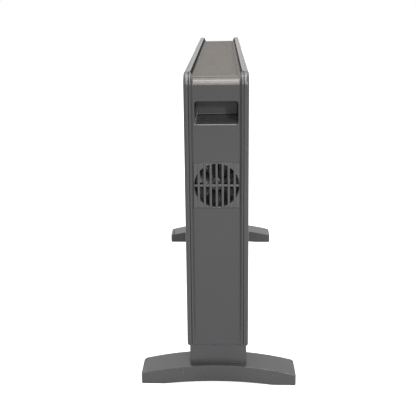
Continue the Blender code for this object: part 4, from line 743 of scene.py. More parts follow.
@dataclass
class SidePanel:
    """One pressed panel with its rolled edge, its flange and its turned-in hem."""

    side: Side
    end: float = 0.363
    bottom: float = 0.0765
    top: float = 0.448
    face: float = 0.041
    top_radius: float = 0.017
    bottom_radius: float = 0.009
    roll: float = 0.003
    roll_steps: int = 8
    flange: float = 0.006
    rim_flange: float = 0.0085
    rim_end: float = 0.3435
    rim_step: float = 0.0025
    hem: float = 0.008
    hem_turn_deg: float = 60.0
    sheet: float = 0.0009
    groove_offset: float = 0.0031
    groove_width: float = 0.00045
    groove_depth: float = 0.00035
    edge_round: float = 0.00035
    inward_slope: float = 0.7
    screw_inset: float = 0.0135
    screw_heights: tuple[float, float] = (0.1065, 0.3615)

    def build(self) -> None:
        """Build the panel and give it its paint, with a darker, rougher paint on its inward faces as painted
        shade.
        """
        solid = self.shell()
        self.add_pocket(solid)
        self.add_groove(solid)
        self.deepen_rim(solid)
        if self.side is Side.REAR:
            solid.cut(*self.screw_seats())
        else:
            solid.mirror(Axis.Y)
        # The inward faces take the darker paint, which is painted shade for the hem's shadowed inner wall.
        solid.repaint(lambda face: face.normal.y * self.side.value < -self.inward_slope)
        name = f"{self.side.name.lower()}_panel"
        solid.piece(f"{name}_skin", PANEL_PAINT, name, second=PANEL_INNER_SHADE)

    def shell(self) -> Solid:
        """Return the full block with its rolled outer edge.

        Returns:
            The block, still solid.
        """
        outline = filleted((
            (-self.end, self.bottom, self.bottom_radius), (self.end, self.bottom, self.bottom_radius),
            (self.end, self.top, self.top_radius), (-self.end, self.top, self.top_radius),
        ), step_deg=5)
        solid = Solid.prism(outline, Axis.Y, self.face, self.face - self.flange)
        return solid.bevel_front(self.face, self.roll, self.roll_steps, Axis.Y)

    def add_pocket(self, solid: Solid) -> None:
        """Turn the hem in round the open back and hollow the panel.

        Args:
            solid: The panel.
        """
        back = self.face - self.flange + TOUCH
        shape = solid.shape
        shape.normal_update()
        face = next(face for face in shape.faces if all(vert.co.y < back for vert in face.verts))
        bmesh.ops.inset_region(shape, faces=[face], thickness=self.hem, use_even_offset=True)
        bmesh.ops.translate(shape, verts=extruded(shape, [face]), vec=(0, self.flange - self.sheet, 0))
        if face.is_valid:
            bmesh.ops.delete(shape, geom=[face], context="FACES_ONLY")
        least = math.radians(self.hem_turn_deg)
        solid.bevel(
            lambda edge: all(vert.co.y < back for vert in edge.verts) and edge.calc_face_angle(0.0) > least,
            self.edge_round, 2,
        )

    def add_groove(self, solid: Solid) -> None:
        """Press the thin groove that runs round the flange.

        Args:
            solid: The panel.
        """
        shape = solid.shape
        high = self.face - self.groove_offset
        low = high - self.groove_width
        solid.slice(Axis.Y, (high, low))
        shape.normal_update()
        middle = Vector((0, 0, (self.bottom + self.top) / 2))
        strip = []
        for face in shape.faces:
            reach = [vert.co.y for vert in face.verts]
            within = low - TOUCH < min(reach) and max(reach) < high + TOUCH
            if within and face.normal.dot(face.calc_center_median() - middle) > 0:
                strip.append(face)
        pressed = extruded(shape, strip)
        bmesh.ops.delete(shape, geom=[face for face in strip if face.is_valid], context="FACES")
        shape.normal_update()
        for vert in pressed:
            outward = Vector((vert.co.x, 0, vert.co.z)) - self.core_point(vert.co)
            vert.co -= outward.normalized() * self.groove_depth
        bmesh.ops.recalc_face_normals(shape, faces=shape.faces)

    def core_point(self, place: Vector) -> Vector:
        """Return the nearest point of the outline drawn in past its corners.

        Args:
            place: A point of the flange.

        Returns:
            The point that the flange stands straight out from.
        """
        low = self.bottom + self.bottom_radius
        high = self.top - self.top_radius
        reach = self.end - (self.bottom_radius if place.z < low else self.top_radius)
        return Vector((max(min(place.x, reach), -reach), 0, max(min(place.z, high), low)))

    def deepen_rim(self, solid: Solid) -> None:
        """Draw the flange along the top rim further in than at the ends.

        Args:
            solid: The panel.
        """
        outer = self.rim_end + self.rim_step
        solid.slice(Axis.X, (-outer, -self.rim_end, self.rim_end, outer))
        back = self.face - self.flange + self.edge_round
        low = self.top - self.hem - self.edge_round
        chosen = [
            vert for vert in solid.shape.verts
            if vert.co.y < back + TOUCH and vert.co.z > low - TOUCH and abs(vert.co.x) < self.rim_end + TOUCH
        ]
        bmesh.ops.translate(solid.shape, verts=chosen, vec=(0, self.flange - self.rim_flange, 0))

    def screw_seats(self) -> list[Solid]:
        """Return the tools of the seats of the panel's four screws."""
        reach = self.end - self.screw_inset
        return [
            Solid.screw_seat(Axis.Y, (x, z), self.face - FIT, -1, self.flange - FIT)
            for x in (reach, -reach) for z in self.screw_heights
        ]


# End caps


@dataclass(frozen=True)
class Pocket:
    """A pocket in a cap's field, with a rounded mouth.

    Attributes:
        low: The height of its floor at the mouth.
        high: The height of its ceiling.
        width: Its width.
        corner: The radius of its upright corners.
        depth: Its depth behind the field.
        mouth: The radius of its mouth's edge.
        mouth_steps: How many steps that edge has.
        back: The radius of the edge round its back.
        back_steps: How many steps that edge has.
        rise: How far its floor has risen at the back.
    """

    low: float
    high: float
    width: float
    corner: float
    depth: float
    mouth: float
    mouth_steps: int
    back: float = 0.0
    back_steps: int = 0
    rise: float = 0.0

    def ring(self, depth: float, grow: float, rise: float = 0.0) -> list[Vector]:
        """Return the pocket's outline at one depth behind the field.

        Args:
            depth: The depth behind the field.
            grow: How far it is grown all round.
            rise: How far its floor is lifted.

        Returns:
            The ring of points.
        """
        low = self.low + rise
        height = self.high - low
        outline = rounded_box(
            (0.0, low + height / 2), self.width + 2 * grow, height + 2 * grow, self.corner + grow,
        )
        return [Vector((FIELD - depth, y, z)) for y, z in outline]

    def sink(self, solid: Solid, wall: float) -> None:
        """Mould the pocket into a cap.

        Args:
            solid: The cap.
            wall: The pocket's wall.
        """
        solid.join(Solid.loft((self.ring(wall / 2, wall), self.ring(self.depth + wall, wall))))
        rings = [self.ring(-OVERRUN, self.mouth)]
        for step in range(self.mouth_steps + 1):
            angle = math.radians(90 * step / self.mouth_steps)
            depth = self.mouth * (1 - math.cos(angle)) - 2 * TOUCH
            rings.append(self.ring(depth, self.mouth * (1 - math.sin(angle))))
        for step in range(self.back_steps + 1):
            angle = math.radians(90 * step / max(self.back_steps, 1))
            depth = self.depth - self.back * (1 - math.sin(angle))
            rings.append(self.ring(depth, -self.back * (1 - math.cos(angle)), self.rise))
        solid.cut(Solid.loft(rings))


GRIP = Pocket(0.3831, 0.4115, 0.0547, 0.003, 0.041, mouth=0.0016, mouth_steps=8, back=0.0016,
              back_steps=4, rise=0.0056)
DISH = Pocket(FAN_HEIGHT - 0.026, FAN_HEIGHT + 0.026, 0.052, 0.004, 0.012, mouth=0.0012, mouth_steps=6)


@dataclass
class EndCap:
    """The moulding that closes one end of the heater, with its hand-grip pocket."""

    end: End
    outer: float = 0.3624
    back: float = 0.343
    crown: float = 0.346
    top: float = 0.4474
    bottom: float = 0.0771
    shoulder: float = 0.4385
    half_width: float = 0.0347
    top_radius: float = 0.0164
    bottom_radius: float = 0.0084
    lip: float = 0.0026
    lip_round: float = 0.0014
    lip_lift: float = 0.00003
    slope: float = 0.0027
    slope_round: float = 0.0012
    depth: float = 0.003
    field_top: float = 0.4401
    field_radius: float = 0.0089
    runout: float = 0.0005
    wall: float = 0.0022
    crown_wall: float = 0.0012
    cavity_corner: float = 0.005
    cheek: float = 0.0025
    edge_round: float = 0.0008
    corner_steps: int = 18
    window: float = 0.0597
    window_corner: float = 0.0006
    bush_hole: float = 0.0048
    switch_hole: tuple[float, float, float] = (0.0136, 0.0196, 0.0003)
    round_holes: tuple[Point, Point] = ((LENS_HEIGHT, 0.0033), (INLET_HEIGHT, 0.0073))
    screw_place: float = 0.35
    screw_depth: float = 0.004

    def build(self) -> None:
        """Build the cap and give it its finish."""
        solid = self.shell()
        GRIP.sink(solid, self.wall)
        if self.end is End.FAN:
            back, front = self.hole_reach()
            centre = 0, FAN_HEIGHT
            solid.cut(Solid.bar(centre, self.window, self.window, self.window_corner, back, front))
        else:
            self.add_controls(solid)
        solid.cut(Solid.screw_seat(Axis.Z, (self.screw_place, 0), self.bottom + FIT, 1, self.screw_depth))
        if self.end is End.CONTROL:
            solid.mirror(Axis.X)
        name = f"{self.end.name.lower()}_end_cap"
        solid.piece(f"{name}_moulding", CAP_MOULDING, name)

    def hole_reach(self) -> Point:
        """Return where a tool that goes through the field starts and ends."""
        return FIELD - 2 * self.wall, FIELD + OVERRUN

    def shell(self) -> Solid:
        """Return the hollow cap with its lips and its recessed field.

        Returns:
            The cap without pocket and holes.
        """
        start = self.back - 2 * OVERRUN
        outline = filleted((
            (start, self.bottom, 0), (self.outer, self.bottom, self.bottom_radius),
            (self.outer, self.top, self.top_radius), (start, self.top, 0),
        ), step_deg=5)
        solid = Solid.prism(outline, Axis.Y, -self.half_width, self.half_width)
        solid.bevel(self.outer_edge, self.edge_round)
        low, high = self.bottom - OVERRUN, self.top + OVERRUN
        step = (
            (start - OVERRUN, low), (self.back, low), (self.back, self.shoulder), (self.crown, self.shoulder),
            (self.crown, high), (start - OVERRUN, high),
        )
        reach = self.half_width + OVERRUN
        solid.cut(Solid.prism(step, Axis.Y, -reach, reach))
        inside, floor, ceiling = FIELD - self.wall, self.bottom + self.cheek, self.field_top - self.crown_wall
        cavity = filleted((
            (start, floor, 0), (inside, floor, self.cavity_corner),
            (inside, ceiling, self.field_radius - self.wall), (start, ceiling, 0),
        ))
        inner = self.half_width - self.cheek
        solid.cut(Solid.prism(cavity, Axis.Y, -inner, inner))
        return solid.cut(self.trough())

    def outer_edge(self, edge: bmesh.types.BMEdge) -> bool:
        """Tell whether an edge runs round one of the cap's two sides."""
        first, second = (vert.co.y for vert in edge.verts)
        return min(abs(first), abs(second)) > self.half_width - TOUCH and abs(first - second) < TOUCH

    def trough(self) -> Solid:
        """Return the tool that sinks the field between the lips.

        Returns:
            The tool, drawn down the cap's face.
        """
        shoulder = self.half_width - self.lip
        lift = self.lip_lift
        outside = self.half_width + OVERRUN
        half = filleted((
            (outside, lift, 0), (shoulder + lift, lift, self.lip_round),
            (shoulder - self.slope, -self.depth, self.slope_round), (0, -self.depth, 0),
        ), closed=False, step_deg=8)
        half = [(outside, OVERRUN)] + half[:-1]
        section = half + [(-across, out) for across, out in reversed(half)]
        rings = []
        for lip, normal, sunk in self.face_path():
            ring = []
            for across, out in section:
                place = lip + normal * out if out > 0 else lip.lerp(sunk, -out / self.depth)
                ring.append(Vector((place.x, across, place.y)))
            rings.append(ring)
        return Solid.loft(rings)

    def face_path(self) -> list[tuple[Vector, Vector, Vector]]:
        """Return stations down the cap's face, in the XZ plane.

        Returns:
            At each station the lip, the direction outwards and the field.
        """
        start = self.crown - OVERRUN
        path = [(Vector((start, self.top)), Vector((0, 1)), Vector((start, self.field_top)))]
        high = Vector((self.outer - self.top_radius, self.top - self.top_radius))
        floor = Vector((FIELD - self.field_radius, self.field_top - self.field_radius))
        low = Vector((self.outer - self.bottom_radius, self.bottom + self.bottom_radius))
        shares = [step / self.corner_steps for step in range(self.corner_steps + 1)]
        for share in shares:
            normal = Vector(arc((0, 0), 1, 90 - 90 * share, 0, 1)[0])
            path.append((high + normal * self.top_radius, normal, floor + normal * self.field_radius))
        for share in shares:
            normal = Vector(arc((0, 0), 1, -90 * share, 0, 1)[0])
            sunk = self.bottom_radius - self.depth * (1 - share) + self.runout * share
            path.append((low + normal * self.bottom_radius, normal, low + normal * sunk))
        return path

    def add_controls(self, solid: Solid) -> None:
        """Add the knob's dish and the holes for the bush, switches, lamp and cord inlet.

        Args:
            solid: The cap.
        """
        DISH.sink(solid, self.wall)
        floor = FIELD - DISH.depth
        hole = Solid.rod(Axis.X, (0, FAN_HEIGHT), self.bush_hole, floor - 2 * self.wall, floor + OVERRUN)
        solid.cut(hole)
        reach = self.hole_reach()
        holes = [Solid.bar((job.value, SWITCH_HEIGHT), *self.switch_hole, *reach) for job in SwitchJob]
        holes += [Solid.rod(Axis.X, (0, height), radius, *reach) for height, radius in self.round_holes]
        solid.cut(*holes)


# The fan's grille and wheel


@dataclass
class FanGrille:
    """The square insert in front of the fan: a round opening with ribs and one cross bar."""

    side: float = 0.0591
    corner: float = 0.0004
    front_round: float = 0.0003
    back: float = 0.3553
    plate: float = 0.0022
    opening: float = 0.0289
    opening_flare: float = 0.0005
    ribs: int = 7
    rib_width: float = 0.0032
    rib_pitch: float = 0.0077
    rib_rise: float = 0.0008
    rib_round: float = 0.0007
    bar_height: float = 0.0029
    bar_round: float = 0.0006

    def build(self) -> None:
        """Build the grille and give it its finish."""
        centre = 0.0, FAN_HEIGHT
        solid = Solid.bar(centre, self.side, self.side, self.corner, self.back, FIELD)
        solid.bevel_front(FIELD, self.front_round, 2)
        mouth = self.opening + self.opening_flare
        solid.cut(Solid.turned((
            (0, self.back - OVERRUN), (self.opening, self.back - OVERRUN),
            (self.opening, FIELD - self.opening_flare), (mouth, FIELD), (mouth, FIELD + OVERRUN),
            (0, FIELD + OVERRUN),
        ), Axis.X, centre, steps=96))
        solid.join(*[self.rib((index - (self.ribs - 1) / 2) * self.rib_pitch) for index in range(self.ribs)])
        reach = self.opening + FIT
        solid.join(self.ridge((-reach, reach), self.bar_height, -FIT, self.plate, self.bar_round))
        solid.piece("fan_grille_insert", GRILLE_MOULDING, "fan_grille")

    def rib(self, across: float) -> Solid:
        """Return one upright rib with rounded front edges."""
        ends = across - self.rib_width / 2, across + self.rib_width / 2
        return self.ridge(ends, self.side - 2 * FIT, self.rib_rise, self.plate + self.rib_rise,
                          self.rib_round)

    def ridge(self, ends: Point, height: float, rise: float, thick: float, front_round: float) -> Solid:
        """Return a straight member of the grille.

        Args:
            ends: Where it starts and ends across the heater.
            height: Its height.
            rise: How far its front stands out from the field.
            thick: Its size along the heater.
            front_round: The rounding of its front edges.

        Returns:
            The member.
        """
        front = FIELD + rise
        low = (front - thick, ends[0], FAN_HEIGHT - height / 2)
        return Solid.block(low, (front, ends[1], FAN_HEIGHT + height / 2)).bevel_front(front, front_round)


@dataclass
class FanWheel:
    """The axial wheel: a domed hub with twisted blades."""

    back: float = 0.34
    front: float = 0.353
    hub: float = 0.0095
    hub_ledge: float = 0.001
    hub_round: float = 0.0032
    bore: float = 0.00158
    bore_depth: float = 0.01
    tip: float = 0.0255
    blades: int = 7
    root_sink: float = 0.0015
    root_chord: float = 0.013
    tip_chord: float = 0.02
    root_pitch_deg: float = 52.0
    tip_pitch_deg: float = 28.0
    thickness: float = 0.0015
    camber: float = 0.0009
    edge_share: float = 0.02
    stations: int = 8

    def build(self) -> None:
        """Build the wheel and give it its finish."""
        centre = 0, FAN_HEIGHT
        profile = [(0.0, self.back), (self.hub, self.back)]
        profile += filleted((
            (self.hub, self.back + self.hub_ledge, 0), (self.hub, self.front, self.hub_round),
            (0.0, self.front, 0),
        ), closed=False)
        solid = Solid.turned(profile, Axis.X, centre)
        solid.join(*[self.blade(math.tau * index / self.blades) for index in range(self.blades)])
        solid.cut(Solid.rod(Axis.X, centre, self.bore, self.back - OVERRUN, self.back + self.bore_depth))
        solid.piece("fan_wheel_moulding", BLACK_MOULDING, "fan_impeller", body="fan_wheel", sharp_deg=40)

    def blade(self, azimuth: float) -> Solid:
        """Return one blade as slanted, cambered sections from root to tip.

        Args:
            azimuth: The blade's angle round the hub.

        Returns:
            The blade.
        """
        radial = Vector((0, math.cos(azimuth), math.sin(azimuth)))
        tangent = Vector((0, -math.sin(azimuth), math.cos(azimuth)))
        axial = Vector((1, 0, 0))
        middle = Vector(((self.back + self.front) / 2, 0, FAN_HEIGHT))
        root = self.hub - self.root_sink
        rings = []
        for step in range(self.stations + 1):
            share = step / self.stations
            radius = root + (self.tip - root) * share
            chord = self.root_chord + (self.tip_chord - self.root_chord) * share
            pitch = math.radians(self.root_pitch_deg + (self.tip_pitch_deg - self.root_pitch_deg) * share)
            along = tangent * math.cos(pitch) + axial * math.sin(pitch)
            across = axial * math.cos(pitch) - tangent * math.sin(pitch)
            centre = middle + radial * radius
            rings.append([centre + along * u * chord / 2 + across * v for u, v in self.section()])
        return Solid.loft(rings)

    def section(self) -> list[Point]:
        """Return a blade's section.

        Returns:
            Points as share of the half chord, and height above it.
        """
        points = []
        for side in (1, -1):
            for step in range(self.stations + 1):
                u = side * (2 * step / self.stations - 1)
                half = self.thickness / 2 * math.sqrt(max(1 - u ** 4, self.edge_share))
                points.append((u, self.camber * (1 - u * u) + side * half))
        return points


# Outlet grille


@dataclass
class OutletGrille:
    """The slotted plate between the rims, where the warm air leaves."""

    end: float = 0.3457
    plate: float = 0.4405
    plate_round: float = 0.0004
    ledge: float = 0.4397
    ledge_round: float = 0.0002
    sheet: float = 0.0009
    half_width: float = 0.0314
    ledge_width: float = 0.0056
    slot_pitch: float = 0.01
    slot_width: float = 0.004
    slot_length: float = 0.059
    slot_roundness: float = 0.98
    slots: int = 66
    flare: tuple[Point, ...] = ((-0.0004, 0.0), (-0.0001, 0.00012), (TOUCH, 0.0004), (OVERRUN, 0.0004))

    def build(self) -> None:
        """Build the plate and give it its paint."""
        half, sheet = self.half_width, self.sheet
        ledge_end = half + self.ledge_width
        right = (
            (half, self.plate, self.plate_round), (half, self.ledge, self.ledge_round),
            (ledge_end, self.ledge, 0), (ledge_end, self.ledge - sheet, 0),
            (half - sheet, self.ledge - sheet, 0), (half - sheet, self.plate - sheet, 0),
        )
        outline = filleted([*right, *[(-y, z, radius) for y, z, radius in reversed(right)]])
        solid = Solid.prism(outline, Axis.X, -self.end, self.end)
        solid.cut(*[self.slot(index) for index in range(self.slots)])
        solid.piece("outlet_grille_plate", OUTLET_PAINT, "top_grille")

    def slot(self, index: int) -> Solid:
        """Return one slot's tool, its ends rounded and its mouth flared.

        Args:
            index: The slot's place in the row.

        Returns:
            The tool.
        """
        x = (index - (self.slots - 1) / 2) * self.slot_pitch
        rings = []
        for rise, grow in ((-self.sheet - OVERRUN, 0.0), *self.flare):
            half, long = self.slot_width / 2 + grow, self.slot_length / 2 + grow
            outline = rounded_box((x, 0), 2 * half, 2 * long, half * self.slot_roundness, step_deg=30)
            rings.append([Vector((u, v, self.plate + rise)) for u, v in outline])
        return Solid.loft(rings)


# Feet


@dataclass
class Foot:
    """An arched foot with the neck that carries the body."""

    end: End
    centre: float = 0.3033
    span: float = 0.22
    depth: float = 0.0454
    end_height: float = 0.0156
    crown_height: float = 0.0294
    crown_steps: int = 44
    pad: float = 0.033
    arch_rise: float = 0.005
    outer_corner: float = 0.0025
    inner_corner: float = 0.006
    corner_steps: int = 8
    edge_round: float = 0.001
    top_slope: float = 0.7
    neck_top: float = 0.0762
    neck_top_width: float = 0.0792
    neck_base_width: float = 0.081
    neck_depth: float = 0.0264
    neck_corner: float = 0.0008
    neck_edge: float = 0.0005
    neck_top_corner: float = 0.0006
    tongue_width: float = 0.062
    tongue_depth: float = 0.021
    tongue_corner: float = 0.002
    tongue_top: float = 0.0796
    wall: float = 0.003
    screw_reach: float = 0.02
    screw_hole: float = 0.0023
    screw_span: Point = (0.071, 0.082)

    def build(self) -> None:
        """Build the foot and give it its finish."""
        solid = self.base()
        solid.join(self.neck())
        solid.join(self.post(self.tongue_width, self.tongue_depth, self.tongue_corner,
                             (self.neck_top - self.wall / 2, self.tongue_top)))
        solid.cut(self.hollow())
        width, depth = self.neck_top_width - 2 * self.wall, self.neck_depth - 2 * self.wall
        solid.cut(self.post(width, depth, self.neck_edge, (self.end_height, self.neck_top - self.wall)))
        places = [(self.centre, y) for y in (-self.screw_reach, self.screw_reach)]
        holes = [Solid.rod(Axis.Z, place, self.screw_hole, *self.screw_span, SCREW_STEPS) for place in places]
        solid.cut(*holes)
        if self.end is End.CONTROL:
            solid.mirror(Axis.X)
        name = f"foot_{self.end.name.lower()}_end"
        solid.piece(f"{name}_moulding", FOOT_MOULDING, name)

    def crown_radius(self, half_span: float, rise: float) -> float:
        """Return the radius of a flat arch from half its width and its rise."""
        return (half_span ** 2 + rise ** 2) / (2 * rise)

    def crown(self, half_span: float, rise: float, base: float) -> list[Point]:
        """Return a flat arch over the foot.

        Args:
            half_span: Half of its width.
            rise: How far its middle rises above its ends.
            base: The height of its ends.

        Returns:
            Points from the rear to the front.
        """
        radius = self.crown_radius(half_span, rise)
        reach_deg = math.degrees(math.asin(half_span / radius))
        return arc((0, base + rise - radius), radius, 90 - reach_deg, 2 * reach_deg, self.crown_steps)

    def base(self) -> Solid:
        """Return the arched bar with its rounded corners and top edges.

        Returns:
            The bar.
        """
        half = self.span / 2
        outline = self.crown(half, self.crown_height - self.end_height, self.end_height)
        outline += [(-half, 0.0)] + self.crown(half - self.pad, self.arch_rise, 0)[::-1] + [(half, 0.0)]
        near, far = self.centre + self.depth / 2, self.centre - self.depth / 2
        solid = Solid.prism(outline, Axis.X, far, near)
        for x, radius in ((near, self.outer_corner), (far, self.inner_corner)):
            solid.bevel(lambda edge: self.upright(edge, x), radius, self.corner_steps)
        return solid.bevel(self.top_edge, self.edge_round)

    def upright(self, edge: bmesh.types.BMEdge, x: float) -> bool:
        """Tell whether an edge stands at a corner of the foot.

        Args:
            edge: The edge.
            x: The corner's place along the heater.

        Returns:
            Whether it does.
        """
        first, second = (vert.co for vert in edge.verts)
        at_end = abs(first.y) > self.span / 2 - TOUCH and abs(first.y - second.y) < TOUCH
        return at_end and abs(first.x - x) < TOUCH and abs(second.x - x) < TOUCH

    def top_edge(self, edge: bmesh.types.BMEdge) -> bool:
        """Tell whether an edge runs round the foot's top.

        Args:
            edge: The edge.

        Returns:
            Whether it does.
        """
        faces = edge.link_faces
        if len(faces) != 2 or min(vert.co.z for vert in edge.verts) < self.end_height - TOUCH:
            return False
        return sorted(face.normal.z > self.top_slope for face in faces) == [False, True]

    def neck_ring(self, width: float, depth: float, radius: float, height: float) -> list[Vector]:
        """Return a rounded ring round the neck's axis, at a height."""
        return [Vector((x, y, height)) for x, y in rounded_box((self.centre, 0), depth, width, radius)]

    def post(self, width: float, depth: float, radius: float, heights: Point) -> Solid:
        """Return an upright bar round the neck's axis, between two heights."""
        return Solid.loft([self.neck_ring(width, depth, radius, height) for height in heights])

    def neck(self) -> Solid:
        """Return the slightly tapered neck."""
        width, depth, corner, edge = self.neck_top_width, self.neck_depth, self.neck_corner, self.neck_edge
        return Solid.loft((
            self.neck_ring(self.neck_base_width, depth, corner, self.end_height),
            self.neck_ring(width, depth, corner, self.neck_top - edge),
            self.neck_ring(width - 2 * edge, depth - 2 * edge, self.neck_top_corner, self.neck_top),
        ))

    def hollow(self) -> Solid:
        """Return the tool that hollows the foot between its pads.

        Returns:
            The tool, with the crown's curve one wall below the top.
        """
        half = self.span / 2 - self.pad - self.wall
        radius = self.crown_radius(self.span / 2, self.crown_height - self.end_height)
        drop = radius - math.sqrt(radius ** 2 - half ** 2)
        outline = self.crown(half, drop, self.crown_height - self.wall - drop)
        outline += [(-half, -OVERRUN), (half, -OVERRUN)]
        reach = self.depth / 2 - self.wall
        return Solid.prism(outline, Axis.X, self.centre - reach, self.centre + reach)


# Controls on the unseen end


@dataclass
class ThermostatKnob:
    """The dial: a ribbed skirt with a grip bar and a pointer, and its printed scale."""

    floor: float = 0.3474
    back: float = 0.3482
    front: float = 0.362
    radius: float = 0.019
    skirt: float = 0.004
    skirt_round: float = 0.0012
    grip_width: float = 0.009
    grip_length: float = 0.034
    grip_corner: float = 0.003
    grip_round: float = 0.0009
    flutes: int = 36
    flute_radius: float = 0.0007
    flute_offset: float = 0.0004
    bore: float = 0.00315
    bore_depth: float = 0.009
    pointer_place: float = 0.0115
    pointer_size: Triple = (0.0012, 0.009, 0.0005)
    pointer_span: Point = (-0.0002, 0.00012)
    ticks: int = 11
    long_tick: int = 5
    tick_step_deg: float = -27.0
    tick_gap: float = 0.0012
    tick_lengths: Point = (0.0014, 0.0022)
    tick_half_width: float = 0.0003
    tick_span: Point = (-0.0001, 0.00008)

    def build(self) -> None:
        """Build the knob, its pointer and the scale round it."""
        centre = 0.0, FAN_HEIGHT
        edge = self.back + self.skirt
        profile = [(0.0, self.back)] + filleted((
            (self.radius, self.back, 0), (self.radius, edge, self.skirt_round), (0.0, edge, 0),
        ), closed=False)
        knob = Solid.turned(profile, Axis.X, centre, steps=144)
        grip = Solid.bar(centre, self.grip_width, self.grip_length, self.grip_corner,
                         self.back + self.skirt / 2, self.front)
        knob.join(grip.bevel_front(self.front, self.grip_round, 4))
        knob.cut(*[self.flute(math.tau * (index + 0.5) / self.flutes) for index in range(self.flutes)])
        knob.cut(Solid.rod(Axis.X, centre, self.bore, self.back - OVERRUN, self.back + self.bore_depth))
        dial = "thermostat_dial"
        knob.mirror(Axis.X).piece("thermostat_knob_moulding", KNOB_MOULDING, "thermostat_knob", body=dial)
        pointer = Solid.bar((0, FAN_HEIGHT + self.pointer_place), *self.pointer_size,
                            *[self.front + rise for rise in self.pointer_span])
        pointer.mirror(Axis.X).piece("thermostat_pointer", MARK_PRINT, body=dial)
        scale = Solid.gathered([self.tick(index) for index in range(self.ticks)])
        scale.mirror(Axis.X).piece("thermostat_scale", MARK_PRINT)

    def flute(self, angle: float) -> Solid:
        """Return the tool of one flute in the skirt's edge.

        Args:
            angle: The flute's angle round the skirt.

        Returns:
            The tool.
        """
        reach = self.radius + self.flute_offset
        centre = reach * math.cos(angle), FAN_HEIGHT + reach * math.sin(angle)
        start, end = self.back - OVERRUN, self.back + self.skirt + OVERRUN
        return Solid.rod(Axis.X, centre, self.flute_radius, start, end, steps=12)

    def tick(self, index: int) -> Solid:
        """Return one tick of the scale, a thin raised print where the pointer passes.

        Args:
            index: The tick's place in the scale.

        Returns:
            The tick.
        """
        low = FAN_HEIGHT + self.radius + self.tick_gap
        high = low + self.tick_lengths[index % self.long_tick == 0]
        back, front = (self.floor + rise for rise in self.tick_span)
        bar = Solid.block((back, -self.tick_half_width, low), (front, self.tick_half_width, high))
        return bar.turn(Axis.X, (0, 0, FAN_HEIGHT), math.radians(self.tick_step_deg * index))


@dataclass
class RockerSwitch:
    """A rocker switch: its bezel, its rocker and the marks on the rocker."""

    job: SwitchJob
    bezel: float = 0.0012
    bezel_corner: float = 0.0012
    bezel_round: float = 0.0005
    width: float = 0.013
    tall: float = 0.019
    corner: float = 0.0003
    depth: float = 0.015
    lap: float = 0.0012
    wall: float = 0.0009
    well: float = 0.0094
    well_corner: float = 0.0004
    pivot: float = 0.3583
    half_length: float = 0.0078
    half_width: float = 0.0052
    face: float = 0.0016
    keel: tuple[Point, ...] = ((-0.0036, 0.0018), (-0.0054, 0.0), (-0.0036, -0.0018))
    face_steps: int = 16
    edge_round: float = 0.00035
    least_turn_deg: float = 40.0
    tilt_deg: float = 9.0
    mark_share: float = 0.56
    mark_span: Point = (-0.0004, 0.0003)
    on_mark: Triple = (0.0003, 0.003, 0.0056)
    off_mark: Triple = (0.0009, 0.0014, -0.0043)

    def build(self) -> None:
        """Build the switch's body, its rocker and the rocker's marks."""
        label = self.job.name.lower()
        self.housing().mirror(Axis.X).piece(f"{label}_switch_housing", BLACK_MOULDING, f"{label}_switch_body")
        moving = f"{label}_rocker_body"
        self.place(self.rocker()).piece(f"{label}_rocker_cap", KNOB_MOULDING, f"{label}_rocker", body=moving)
        self.place(self.marks()).piece(f"{label}_rocker_marks", MARK_PRINT, body=moving)

    def housing(self) -> Solid:
        """Return the switch's hollow body with its bezel.

        Returns:
            The body, at the fan end.
        """
        centre = self.job.value, SWITCH_HEIGHT
        width, tall, lap, wall = self.width, self.tall, 2 * self.lap, 2 * self.wall
        face = FIELD + self.bezel
        body = Solid.bar(centre, width, tall, self.corner, FIELD - self.depth, face - FIT)
        bezel = Solid.bar(centre, width + lap, tall + lap, self.bezel_corner, FIELD + FIT, face)
        body.join(bezel.bevel_front(face, self.bezel_round))
        well = Solid.bar(centre, width - wall, tall - wall, self.well_corner, face - self.well,
                         face + OVERRUN)
        return body.cut(well)

    def rocker(self) -> Solid:
        """Return the rocker, flat, with its pivot at the origin and its face towards +X.

        Returns:
            The rocker.
        """
        shares = [2 * step / self.face_steps - 1 for step in range(self.face_steps + 1)]
        face = [(self.face_rise(share), share * self.half_length) for share in shares]
        outline = [*face, (0.0, self.half_length), *self.keel, (0.0, -self.half_length)]
        solid = Solid.prism(outline, Axis.Y, -self.half_width, self.half_width)
        least = math.radians(self.least_turn_deg)
        return solid.bevel(lambda edge: edge.calc_face_angle(0.0) > least, self.edge_round, 2)

    def face_rise(self, share: float) -> float:
        """Return how far the rocker's hollow face stands out at a share of its half length."""
        return self.face * (1 + share * share)

    def marks(self) -> Solid:
        """Return the raised bar of the on mark and the raised ring of the off mark.

        Returns:
            Both marks.
        """
        back, front = (self.face_rise(self.mark_share) + rise for rise in self.mark_span)
        half, low, high = self.on_mark
        bar = Solid.block((back, -half, low), (front, half, high))
        inner, outer, height = self.off_mark
        profile = ((inner, back), (outer, back), (outer, front), (inner, front))
        return Solid.gathered((bar, Solid.turned(profile, Axis.X, (0, height), steps=32, closed=True)))

    def place(self, solid: Solid) -> Solid:
        """Tilt a flat part of the rocker to off and set it on its pivot at the control end.

        Args:
            solid: The part.

        Returns:
            The part.
        """
        solid.turn(Axis.Y, (0, 0, 0), math.radians(self.tilt_deg))
        offset = Vector((self.pivot, self.job.value, SWITCH_HEIGHT))
        bmesh.ops.translate(solid.shape, verts=solid.shape.verts, vec=offset)
        return solid.mirror(Axis.X)


